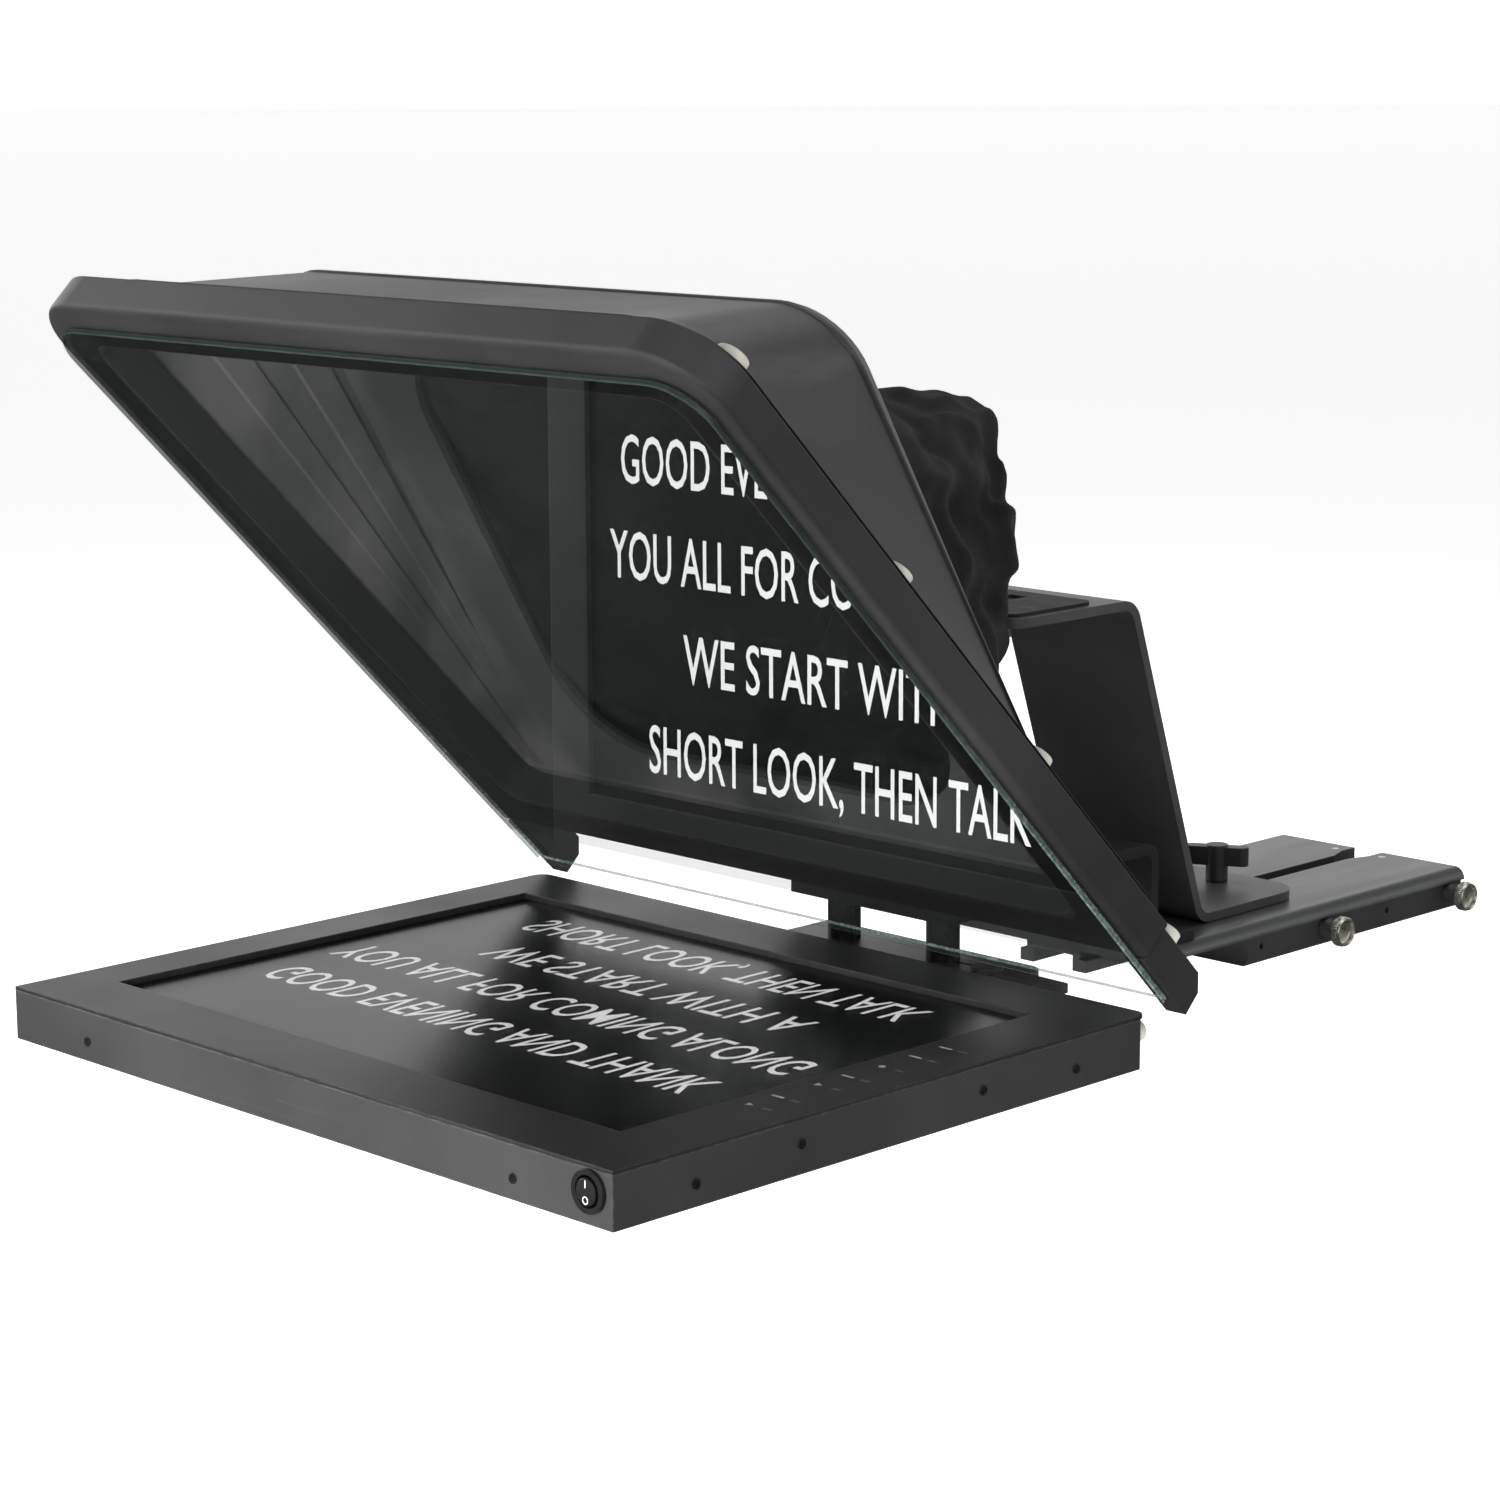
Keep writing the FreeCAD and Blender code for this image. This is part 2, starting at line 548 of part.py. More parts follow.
def make_hood():
    """Tapered shell between the tilted frame and the steeper rear rim, with a front flange."""
    wall = value("hood_wall")
    back = value("frame_back")
    front_half = value("hood_front_half")
    rear_half = value("hood_rear_half")
    low = value("frame_window_bottom")
    high = value("hood_front_top")
    rim = value("rim_length")
    corner = value("hood_corner")
    outer = Part.makeLoft([glass_wire(front_half, low, high, 6, corner, back),
                           rim_wire(rear_half, 0, rim, 6, corner, 0)], True, True)
    inner = Part.makeLoft([glass_wire(front_half - wall, low + wall, high - wall, 4, corner - wall, back - 1),
                           rim_wire(rear_half - wall, wall, rim - wall, 4, corner - wall, 1)], True, True)
    flange = Part.Face(glass_wire(value("frame_half_width") - 1, low, high, 6, corner, back))
    normal = FreeCAD.Vector(0, math.sqrt(0.5), math.sqrt(0.5))
    shell = outer.fuse(flange.extrude(normal * 2)).cut(inner).removeSplitter()
    blank = feature("hood_blank", shell)
    node("hood_shell", cut("hood_shell", blank, [nodes["frame_studs"]]))

    panel = rounded_plate("rear_panel_blank", on_rim, "-hood_rear_half+hood_wall+0.6", "hood_rear_half-hood_wall-0.6",
                          "hood_wall+1.4", "rim_length-hood_wall-0.6", "0", "hood_wall",
                          "hood_corner-hood_wall", "4")
    port = rounded_plate("rear_port", on_rim, "-port_half_width", "port_half_width", "port_bottom", "port_top",
                         "1", "hood_wall+2", "port_corner", "port_corner")
    node("hood_rear_panel", cut("hood_rear_panel", panel, [port]))
    retainer = rounded_plate("retainer_blank", on_rim, "-port_half_width-10", "port_half_width+10",
                             "port_bottom-10", "port_top+10", "2.5", "2.5", "port_corner+10", "port_corner+10")
    port_through = rounded_plate("retainer_port", on_rim, "-port_half_width", "port_half_width",
                                 "port_bottom", "port_top", "4", "6", "port_corner", "port_corner")
    node("sleeve_retainer", cut("sleeve_retainer", retainer, [port_through]))


def make_sleeve():
    """Cloth sleeve from the rear opening to the camera, 3 mm thick, with an elastic round the lens."""
    half = value("port_half_width") + 6
    low = value("port_bottom") - 6
    high = value("port_top") + 6
    corner = value("port_corner") + 6
    thick = 3.0
    lens = value("sleeve_end_radius")
    width = value("sleeve_end_half")
    drop = value("lens_z-sleeve_end_bottom")
    centre = (0, value("sleeve_end_y"), value("lens_z"))

    def end_wire(inset, back):
        radius = lens - 3 - inset
        return moved(rounded_wire(width - inset, inset - drop, lens + 2 - inset, radius, radius), centre, 90, back)

    outer = Part.makeLoft([rim_wire(half, low, high, corner, corner, 2.5), end_wire(0, 0)], True, True)
    inner = Part.makeLoft([rim_wire(half - thick, low + thick, high - thick, corner - thick, corner - thick, 1.5),
                           end_wire(thick, -thick)], True, True)
    bag = feature("sleeve_bag", outer.cut(inner).removeSplitter())
    mouth = cylinder("sleeve_mouth", "sleeve_end_radius-3", "20", "0", "sleeve_end_y-10", "lens_z", "Y")
    node("lens_sleeve", cut("lens_sleeve", bag, [mouth]))
    ring = doc.addObject("Part::Torus", "sleeve_elastic")
    bind(ring, Radius1="sleeve_end_radius-1.5", Radius2="2")
    node("sleeve_elastic", place(ring, y="sleeve_end_y+2.1", z="lens_z", tilt=90))


# -------------------------------------------------------------------------------- riser
def make_riser():
    """Bent riser: a foot on the deck, a web that leans forward and a seat for the camera."""
    body = new_body("riser_blank")
    profile = sketch(body, "YZ_Plane", "riser_profile")
    low = "(deck_top+slide_gap)"
    slope = "tan(riser_lean)"
    across = "riser_thick/cos(riser_lean)"
    seat_under = "(riser_top-riser_thick)"
    outline(profile, [
        ("riser_foot_rear", low), ("riser_foot_rear", low + "+riser_thick"),
        ("riser_bend_y+%s-riser_thick*%s" % (across, slope), low + "+riser_thick"),
        ("riser_bend_y+%s-(riser_top-%s)*%s" % (across, low, slope), "riser_top"),
        ("riser_flange_front", "riser_top"), ("riser_flange_front", seat_under),
        ("riser_bend_y-(%s-%s)*%s" % (seat_under, low, slope), seat_under), ("riser_bend_y", low)])
    pad(body, profile, "riser_pad", "2*riser_half_width", midplane=True)
    seat_bend = value("riser_bend_y-(riser_top-%s)*%s" % (low, slope))
    round_edges(body, "riser_outer_bends", "12", X_AXIS,
                lambda p: (near(p.y, "riser_bend_y") and near(p.z, low))
                or (p.y > seat_bend - 8 and near(p.z, "riser_top")))
    round_edges(body, "riser_inner_bends", "7.5", X_AXIS,
                lambda p: (p.y < value("riser_bend_y") + 8 and near(p.z, low + "+riser_thick"))
                or (p.y > seat_bend - 8 and near(p.z, seat_under)))
    round_edges(body, "seat_corners", "10", Z_AXIS, lambda p: near(p.y, "riser_flange_front"))
    round_edges(body, "foot_corners", "18", Z_AXIS, lambda p: near(p.y, "riser_foot_rear"))
    ends = [cylinder("seat_slot_end", "3.4", "12", "0", "camera_screw_y%s(camera_slot_half-3.4)" % sign,
                     "riser_top-8") for sign in ("-", "+")]
    middle = box("seat_slot_middle", ("-3.4", "3.4"), ("camera_screw_y-camera_slot_half+3.4",
                                                       "camera_screw_y+camera_slot_half-3.4"),
                 ("riser_top-8", "riser_top+4"))
    seat_slot = join("seat_slot", ends + [middle])
    foot_hole = cylinder("foot_hole", "3.3", "10", "0", "clamp_knob_y", "deck_top-2")
    node("riser_plate", cut("riser_plate", body, [seat_slot, foot_hole]))

    cushion = new_body("riser_mat_blank")
    rectangle(sketch(cushion, "XY_Plane", "mat_outline", lift="riser_top"), "-riser_half_width+4",
              "riser_half_width-4", "riser_flange_front+3", "riser_flange_front+60")
    pad(cushion, cushion.Group[-1], "mat_pad", "1.5")
    round_edges(cushion, "mat_corners", "7", Z_AXIS, lambda p: True)
    mat_slot = box("mat_slot", ("-5", "5"), ("camera_screw_y-camera_slot_half-2",
                                             "camera_screw_y+camera_slot_half+2"), ("riser_top-1", "riser_top+3"))
    node("riser_mat", cut("riser_mat", cushion, [mat_slot]))

    nut_top = "nut_cavity_top-slide_gap"
    nut = box("clamp_nut_blank", ("-nut_cavity_half+0.4", "nut_cavity_half-0.4"),
              ("clamp_knob_y-11.6", "clamp_knob_y+11.6"), (nut_top + "-4.8", nut_top))
    node("clamp_nut", cut("clamp_nut", nut, [cylinder("nut_thread", "3.05", "8", "0", "clamp_knob_y",
                                                      nut_top + "-6")]))

    seat = "(deck_top+slide_gap+riser_thick+slide_gap)"
    wing = new_body("clamp_wing")
    rectangle(sketch(wing, "XY_Plane", "wing_outline"), "-15.5", "15.5", "-3.8", "3.8")
    pad(wing, wing.Group[-1], "wing_pad", "9.2")
    round_edges(wing, "wing_ends", "3.6", Z_AXIS, lambda p: True)
    place(wing, y="clamp_knob_y", z=seat + "+8", tilt=28, axis=(0, 0, 1))
    hub = cylinder("clamp_hub", "5.4", "18", "0", "clamp_knob_y", seat)
    stud = cylinder("clamp_stud", "3", seat + "-11+2", "0", "clamp_knob_y", "11")
    node("clamp_knob", join("clamp_knob", [wing, hub, stud]))

    under = "(riser_top-riser_thick)"
    washer = cylinder("camera_washer_disc", "9", "1.8", "0", "camera_screw_y", under + "-slide_gap-1.8")
    node("camera_washer", cut("camera_washer", washer, [cylinder("washer_bore", "3.25", "4", "0", "camera_screw_y",
                                                                 under + "-3")]))
    head_top = under + "-slide_gap-1.8-slide_gap"
    head = cylinder("camera_screw_head", "10", "7.5", "0", "camera_screw_y", head_top + "-7.5")
    neck = cylinder("camera_screw_neck", "2.8", "riser_top+2.5-(%s)" % head_top, "0", "camera_screw_y",
                    head_top + "-1")
    thread = cylinder("camera_screw_thread", "3.175", "5.7", "0", "camera_screw_y", "riser_top+1.3")
    coin = box("coin_slot", ("-7", "7"), ("camera_screw_y-1", "camera_screw_y+1"),
               (head_top + "-9", head_top + "-5"))
    node("camera_screw", cut("camera_screw", join("camera_screw_solid", [head, neck, thread]), [coin]))


# ------------------------------------------------------------------------------ monitor
KEY_SPOTS = [91.0, 105.6, 127.5, 143.3, 162.3, 181.0, 198.6]


def make_monitor_mount():
    """Plate under the monitor, with a rod block, its locking lever and the VESA screws."""
    plate_low = "monitor_bottom-5"
    spots = [(x, "monitor_front+%s" % y) for x in ("-50", "50") for y in ("95", "195")]
    screws = [join("vesa_screw", [cylinder("head", "4", "2.4", x, y, plate_low + "-2.4"),
                                  cylinder("shank", "2", "6.4", x, y, plate_low)]) for x, y in spots]
    vesa_screws = node("vesa_screws", group("vesa_screws", screws))
    body = new_body("monitor_plate_blank")
    rectangle(sketch(body, "XY_Plane", "monitor_plate_outline", lift=plate_low),
              "-base_half_width", "base_half_width", "monitor_front+70", "rod_y+18")
    pad(body, body.Group[-1], "monitor_plate_pad", "5")
    round_edges(body, "monitor_plate_corners", "8", Z_AXIS, lambda p: True)
    rod_holes = [cylinder("rod_hole", "rod_radius+0.5", "7", x, "rod_y", plate_low + "-1")
                 for side, x in rod_spots()]
    pivot = "base_half_width+9"
    node("monitor_plate", cut("monitor_plate", body, [vesa_screws] + rod_holes))

    block = new_body("rod_block_lower_blank")
    rectangle(sketch(block, "XY_Plane", "lower_block_outline", lift="monitor_bottom"),
              "-base_half_width", "base_half_width+18", "rod_y-20", "rod_y+18")
    pad(block, block.Group[-1], "lower_block_pad", "9.9")
    round_edges(block, "lower_block_corners", "9", Z_AXIS, lambda p: p.x > value("base_half_width"))
    bores = [cylinder("rod_bore", "rod_radius+0.05", "14", x, "rod_y", "monitor_bottom-1")
             for side, x in rod_spots()]
    split = box("clamp_split", ("rod_half_spacing+rod_radius-2", "base_half_width+19"), ("rod_y-1", "rod_y+1"),
                ("monitor_bottom-1", "monitor_bottom+13"))
    bolt_bore = cylinder("lever_bolt_bore", "2.55", "14", pivot, "rod_y-11", "monitor_bottom-1")
    node("rod_block_lower", cut("rod_block_lower", block, bores + [split, bolt_bore]))

    seat = "monitor_bottom+9.9+slide_gap"
    hub = cylinder("lever_hub", "7", "5.2", pivot, "rod_y-11", seat)
    arm = new_body("lever_arm")
    outline(sketch(arm, "XY_Plane", "arm_outline"),
            [("0", "-5"), ("44", "-3.5"), ("44", "3.5"), ("0", "5")])
    pad(arm, arm.Group[-1], "arm_pad", "3.6")
    round_edges(arm, "arm_end", "3.2", Z_AXIS, lambda p: p.x > 40)
    place(arm, x=pivot, y="rod_y-11", z=seat + "+0.5")
    bolt = cylinder("lever_bolt", "2.5", "14", pivot, "rod_y-11", "monitor_bottom+1")
    node("rod_lock_lever", join("rod_lock_lever", [hub, arm, bolt]))


def make_monitor():
    """Flat monitor: folded tray, bezel with a sunk window, LCD module, boards, keys and inlets."""
    wall = "tray_wall"
    x0, x1 = "-monitor_half_width", "monitor_half_width"
    y0, y1 = "monitor_front", "monitor_rear"
    lid = "monitor_top-tray_wall"
    tray = new_body("tray_blank")
    rectangle(sketch(tray, "XY_Plane", "tray_outline", lift="monitor_bottom"), x0, x1, y0, y1)
    pad(tray, tray.Group[-1], "tray_pad", lid + "-monitor_bottom")
    hollow = sketch(tray, "XY_Plane", "tray_hollow", lift=lid)
    rectangle(hollow, x0 + "+" + wall, x1 + "-" + wall, y0 + "+" + wall, y1 + "-" + wall)
    pocket(tray, hollow, "tray_hollow_cut", lid + "-monitor_bottom-tray_wall")

    skirt_outer = box("skirt_outer", (x0 + "+" + wall, x1 + "-" + wall), (y0 + "+" + wall, y1 + "-" + wall),
                      ("monitor_bottom+6", lid))
    skirt_inner = box("skirt_inner", (x0 + "+2*" + wall, x1 + "-2*" + wall), (y0 + "+2*" + wall, y1 + "-2*" + wall),
                      ("monitor_bottom", "monitor_top-tray_wall"))
    skirt = cut("bezel_skirt", skirt_outer, [skirt_inner])
    top = new_body("bezel_top")
    rectangle(sketch(top, "XY_Plane", "bezel_outline", lift=lid), x0, x1, y0, "bezel_rear")
    pad(top, top.Group[-1], "bezel_pad", "tray_wall")
    round_edges(top, "bezel_rear_corners", "6", Z_AXIS, lambda p: near(p.y, "bezel_rear"))
    well = box("window_well", ("screen_left-tray_wall", "screen_right+tray_wall"),
               ("screen_front-tray_wall", "screen_rear+tray_wall"), ("screen_height", lid))
    window = box("window", ("screen_left", "screen_right"), ("screen_front", "screen_rear"),
                 ("screen_height-1", "monitor_top+1"))
    bezel = join("bezel_solid", [skirt, top, well])

    screws = []
    for x, z in (("-131.9", "35.8"), ("130.3", "35.8")):
        screws.append(join("front_screw", [cylinder("head", "2", "0.5", x, y0 + "-0.5", z, "Y"),
                                           cylinder("shank", "1.2", "3", x, y0 + "-0.1", z, "Y")]))
    side_spots = ((40.3, 36.2), (94.1, 39.2), (194.0, 38.8), (249.3, 35.9))
    for y, z in side_spots:
        spot = y0 + "+%s" % y
        screws.append(join("right_screw", [cylinder("head", "2", "0.5", x1, spot, z, "X"),
                                           cylinder("shank", "1.2", "3", x1 + "-2.9", spot, z, "X")]))
        screws.append(join("left_screw", [cylinder("head", "2", "0.5", x0 + "-0.5", spot, z, "X"),
                                          cylinder("shank", "1.2", "3", x0 + "-0.1", spot, z, "X")]))
    tray_screws = node("tray_screws", group("tray_screws", screws))
    thumbs = [join("rear_thumb", [cylinder("head", "4.5", "5", x, y1, "42", "Y"),
                                  cylinder("shank", "1.5", "4", x, y1 + "-3", "42", "Y")])
              for x in ("-177.5", "177.5")]
    rear_thumbs = node("rear_thumb_screws", group("rear_thumb_screws", thumbs))

    inlets = []
    for label, y, width, height, bore in (("dc_inlet", 60, 11, 11, "2.9"), ("hdmi_port", 118, 16.4, 7.2, None),
                                          ("vga_port", 152, 31, 12.5, None)):
        low = "38-%s/2" % height
        span = (y0 + "+%s-%s/2" % (y, width), y0 + "+%s+%s/2" % (y, width))
        shell = box(label + "_shell", (x0 + "-0.6", x0 + "+11"), span, (low, low + "+%s" % height))
        if bore:
            hole = cylinder(label + "_bore", bore, "9", x0 + "-0.7", y0 + "+%s" % y, "38", "X")
        else:
            hole = box(label + "_mouth", (x0 + "-0.7", x0 + "+8"), (span[0] + "+1.2", span[1] + "-1.2"),
                       (low + "+1.2", low + "+%s-1.2" % height))
        inlets.append(node(label, cut(label, shell, [hole])))
    inlet_holes = [box("inlet_hole", (x0 + "-1", x0 + "+11"), (y0 + "+%s-%s/2" % (y, width),
                                                               y0 + "+%s+%s/2" % (y, width)),
                       ("38-%s/2" % height, "38+%s/2" % height))
                   for y, width, height in ((60, 11, 11), (118, 16.4, 7.2), (152, 31, 12.5))]

    ring = join("switch_solid", [cylinder("switch_ring", "8.2", "1.8", "switch_x", y0 + "-1.8", "switch_z", "Y"),
                                 cylinder("switch_barrel", "7", "15", "switch_x", y0 + "-0.5", "switch_z", "Y")])
    switch_bore = cylinder("switch_bore", "6.1", "12", "switch_x", y0 + "-2", "switch_z", "Y")
    node("power_switch_housing", cut("power_switch_housing", ring, [switch_bore]))
    rocker = cylinder("rocker_disc", "5", "7", "switch_x", y0 + "-2.4", "switch_z", "Y")
    node("power_rocker", rocker)
    switch_hole = cylinder("switch_hole", "7", "18", "switch_x", y0 + "-1", "switch_z", "Y")

    key_holes = []
    for number, offset in enumerate(KEY_SPOTS, start=1):
        spot = y0 + "+%s" % offset
        label = "osd_key_%d" % number
        cap = cylinder(label + "_cap", "key_radius", "4.3", "key_x", spot, "monitor_bottom-1")
        collar = cylinder(label + "_collar", "key_radius+1.2", "1.4", "key_x", spot, "monitor_bottom+1.9")
        node(label, join(label, [cap, collar]))
        key_holes.append(cylinder("key_hole", "key_radius+0.3", "3", "key_x", spot, "monitor_bottom-1"))
    node("monitor_tray", cut("monitor_tray", tray, [tray_screws, rear_thumbs, nodes["vesa_screws"], switch_hole]
                             + inlet_holes + key_holes))
    node("monitor_bezel", cut("monitor_bezel", bezel, [window, tray_screws, rear_thumbs, switch_hole] + inlet_holes))

    node("lcd_module", box("lcd_module", ("screen_left-9", "screen_right+9"),
                           ("screen_front-9", "screen_rear+11"),
                           ("screen_height-12", "screen_height-1.3")))
    node("screen_glass", box("screen_glass", ("screen_left-5", "screen_right+5"),
                             ("screen_front-5", "screen_rear+5"),
                             ("screen_height-1", "screen_height")))
    board_z = "monitor_bottom+3.2"
    corners = [(x, y0 + "+%s" % y) for x in ("-94", "94") for y in ("106", "184")]
    posts = [cylinder("standoff", "2.5", "1.7", x, y, "monitor_bottom+tray_wall") for x, y in corners]
    node("board_standoffs", group("board_standoffs", posts))
    node("driver_board", box("driver_board", ("-100", "100"), (y0 + "+100", y0 + "+190"),
                             (board_z, board_z + "+1.6")))
    key_board = box("key_board_blank", ("key_x-8.5", "key_x+9.5"), (y0 + "+84", y0 + "+206"),
                    ("monitor_bottom+4.4", "monitor_bottom+5.9"))
    node("key_board", key_board)


# ------------------------------------------------------------------------------ assembly
make_base()
make_side_knob("side_knob_front", "knob_front_y")
make_side_knob("side_knob_rear", "knob_rear_y")
make_deck()
make_rods()
make_hood_mount()
make_glass()
make_hood()
make_sleeve()
make_riser()
make_monitor_mount()
make_monitor()
doc.recompute()

for thing in doc.Objects:
    if "Invalid" in thing.State or "Error" in thing.State:
        raise RuntimeError("%s failed: %s" % (thing.Name, thing.State))
os.makedirs("parts", exist_ok=True)
for label, thing in nodes.items():
    if thing.Shape.isNull() or not thing.Shape.isValid() or not thing.Shape.Solids:
        raise RuntimeError("%s has no valid solid" % label)
    thing.Shape.exportStep("parts/%s.step" % label)
print(len(nodes), "nodes")
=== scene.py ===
import json
import math

import bmesh
import bpy
from mathutils import Matrix, Vector, noise


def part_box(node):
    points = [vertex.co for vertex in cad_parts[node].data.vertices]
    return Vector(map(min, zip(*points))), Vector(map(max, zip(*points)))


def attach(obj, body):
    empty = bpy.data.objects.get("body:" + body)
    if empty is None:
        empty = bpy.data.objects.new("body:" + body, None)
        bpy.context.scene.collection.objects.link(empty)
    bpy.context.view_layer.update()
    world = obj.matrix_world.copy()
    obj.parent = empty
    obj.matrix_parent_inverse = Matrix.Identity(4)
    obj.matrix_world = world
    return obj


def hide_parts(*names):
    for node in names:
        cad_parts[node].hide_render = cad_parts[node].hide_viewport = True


# Looks of a through-the-glass teleprompter.  Metres, +Z up, +Y towards the video camera.
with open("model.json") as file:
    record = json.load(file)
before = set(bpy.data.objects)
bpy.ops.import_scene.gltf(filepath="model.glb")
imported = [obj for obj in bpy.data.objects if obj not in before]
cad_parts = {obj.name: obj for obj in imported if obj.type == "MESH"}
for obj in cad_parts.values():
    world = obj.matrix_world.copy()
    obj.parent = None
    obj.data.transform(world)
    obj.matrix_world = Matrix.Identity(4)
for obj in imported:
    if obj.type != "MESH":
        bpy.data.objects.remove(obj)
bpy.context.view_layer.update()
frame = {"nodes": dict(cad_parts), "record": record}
nodes = frame["nodes"]

MM = 0.001
C45 = math.sqrt(0.5)

CAMERA_PLACE = (1.0922, -1.44625, 0.4380)
CAMERA_TURN = (45.144, 10.957, -0.263)  # azimuth, elevation and roll in degrees
CAMERA_LENS, SENSOR_WIDTH = 88.70, 36
FLOOR_Z, FLOOR_RADIUS, DOME_RADIUS = -0.16, 30, 32
MIDDLE = (0, -0.33, 0.15)  # where the soft lights point

# The glass's lower front edge.  The glass leans 45 degrees.
GLASS_Y, GLASS_Z = -0.312, 0.0538
PANE_HALF, PANE_LENGTH, PANE_CORNER = 188.8, 376.9, 20
# The foot and the slope of the hood's rear rim.
RIM_Y, RIM_Z, RIM_ANGLE = -0.3301, 0.104, math.radians(120.5)
RIM_UP = Vector((0, math.cos(RIM_ANGLE), math.sin(RIM_ANGLE)))
RIM_BACK = Vector((0, math.sin(RIM_ANGLE), -math.cos(RIM_ANGLE)))
# The lens's height, the sleeve's end and the middle of its hem.
LENS_Z, SLEEVE_END_Y = 0.243, -0.252
HEM_Z = LENS_Z - 0.005


# ------------------------------------------------------------------------------ camera
def set_camera():
    data = bpy.data.cameras.new("camera")
    data.lens = CAMERA_LENS
    data.sensor_width = SENSOR_WIDTH
    data.clip_end = 100
    camera = bpy.data.objects.new("camera", data)
    bpy.context.scene.collection.objects.link(camera)
    azimuth, elevation, roll = (math.radians(a) for a in CAMERA_TURN)
    back = Vector((math.sin(azimuth) * math.cos(elevation),
                   -math.cos(azimuth) * math.cos(elevation),
                   math.sin(elevation)))
    side = Vector((math.cos(azimuth), math.sin(azimuth), 0))
    up = back.cross(side)
    right = side * math.cos(roll) + up * math.sin(roll)
    up = up * math.cos(roll) - side * math.sin(roll)
    turn = Matrix((right, up, back)).transposed().to_4x4()
    camera.matrix_world = Matrix.Translation(CAMERA_PLACE) @ turn
    bpy.context.scene.camera = camera


def softbox(name, place, size, power, aim=MIDDLE, shine=True):
    """Rectangular light that looks at a point; without shine, glossy surfaces don't show it."""
    data = bpy.data.lights.new(name, "AREA")
    data.shape = "RECTANGLE"
    data.size, data.size_y = size
    data.energy = power
    light = bpy.data.objects.new(name, data)
    bpy.context.scene.collection.objects.link(light)
    light.location = place
    light.visible_glossy = shine
    light.rotation_euler = (Vector(aim) - Vector(place)).to_track_quat("-Z", "Y").to_euler()


def half_dome(radius):
    """Upper half of a sphere, standing a little below the floor."""
    rise_step, turn_step, sunk = 7, 5, 0.3
    columns = 360 // turn_step
    rings = []
    for i in range(13):
        rise = math.radians(rise_step * i)
        turns = [math.radians(turn_step * k) for k in range(columns)]
        rings.append([Vector((radius * math.cos(rise) * math.cos(turn),
                              radius * math.cos(rise) * math.sin(turn),
                              radius * math.sin(rise) - sunk)) for turn in turns])
    vertices, faces = skin(rings)
    return vertices, faces + [tuple(range(len(vertices) - columns, len(vertices)))]


def make_stage():
    """Pale floor, a pale backdrop that glossy surfaces also show, and soft lights."""
    scene = bpy.context.scene
    scene.view_settings.view_transform = "Standard"
    world = bpy.data.worlds.new("studio")
    world.use_nodes = True
    sky = world.node_tree.nodes["Background"]
    sky.inputs["Color"].default_value = (0.95, 0.98, 1.0, 1)
    sky.inputs["Strength"].default_value = 0.022
    scene.world = world
    bpy.ops.mesh.primitive_circle_add(
        vertices=96, radius=FLOOR_RADIUS, fill_type="NGON", location=(0, 0, FLOOR_Z))
    floor = bpy.context.object
    floor.name = "floor"
    pale = plain("floor_paint", (0.93, 0.93, 0.93), 0.9)
    shader = pale.node_tree.nodes["Principled BSDF"]
    shader.inputs["Emission Color"].default_value = (1, 1, 1, 1)
    shader.inputs["Emission Strength"].default_value = 0.85
    floor.data.materials.append(pale)
    dome = new_piece("dome", *half_dome(DOME_RADIUS), None, None, smooth=60)
    light = bpy.data.materials.new("dome_paint")
    light.use_nodes = True
    tree = light.node_tree
    tree.nodes.clear()
    glow = tree.nodes.new("ShaderNodeEmission")
    glow.inputs["Color"].default_value = (1, 1, 1, 1)
    place = tree.nodes.new("ShaderNodeTexCoord")
    split = tree.nodes.new("ShaderNodeSeparateXYZ")
    fade = tree.nodes.new("ShaderNodeMapRange")
    fade.inputs["From Min"].default_value, fade.inputs["From Max"].default_value = 9, 20
    fade.inputs["To Min"].default_value, fade.inputs["To Max"].default_value = 1.05, 0.05
    tree.links.new(place.outputs["Object"], split.inputs[0])
    tree.links.new(split.outputs["Z"], fade.inputs["Value"])
    tree.links.new(fade.outputs[0], glow.inputs["Strength"])
    out = tree.nodes.new("ShaderNodeOutputMaterial")
    tree.links.new(glow.outputs[0], out.inputs[0])
    dome.data.materials.append(light)
    floor.visible_glossy = False
    dome.visible_diffuse = dome.visible_shadow = False
    softbox("top_box", (0.1, 0.1, 1.75), (1.9, 1.5), 14)
    softbox("right_box", (1.9, -0.55, 1.0), (1.3, 1.1), 4)
    softbox("front_box", (0.5, -2.1, 0.9), (1.5, 1.0), 8)
    softbox("left_box", (-1.8, -0.7, 0.8), (1.2, 1.0), 10)
    softbox("rear_box", (-0.3, 1.6, 0.9), (1.3, 0.9), 13, shine=False)
    softbox("hood_fill", (0.15, -1.25, 0.13), (0.25, 0.3), 10,
            aim=(-0.14, -0.42, 0.24), shine=False)


# --------------------------------------------------------------------------- materials
def plain(name, color, roughness, metallic=0.0):
    """Material with one colour and one roughness."""
    made = bpy.data.materials.new(name)
    made.use_nodes = True
    shader = made.node_tree.nodes["Principled BSDF"]
    shader.inputs["Base Color"].default_value = (*color, 1)
    shader.inputs["Roughness"].default_value = roughness
    shader.inputs["Metallic"].default_value = metallic
    return made


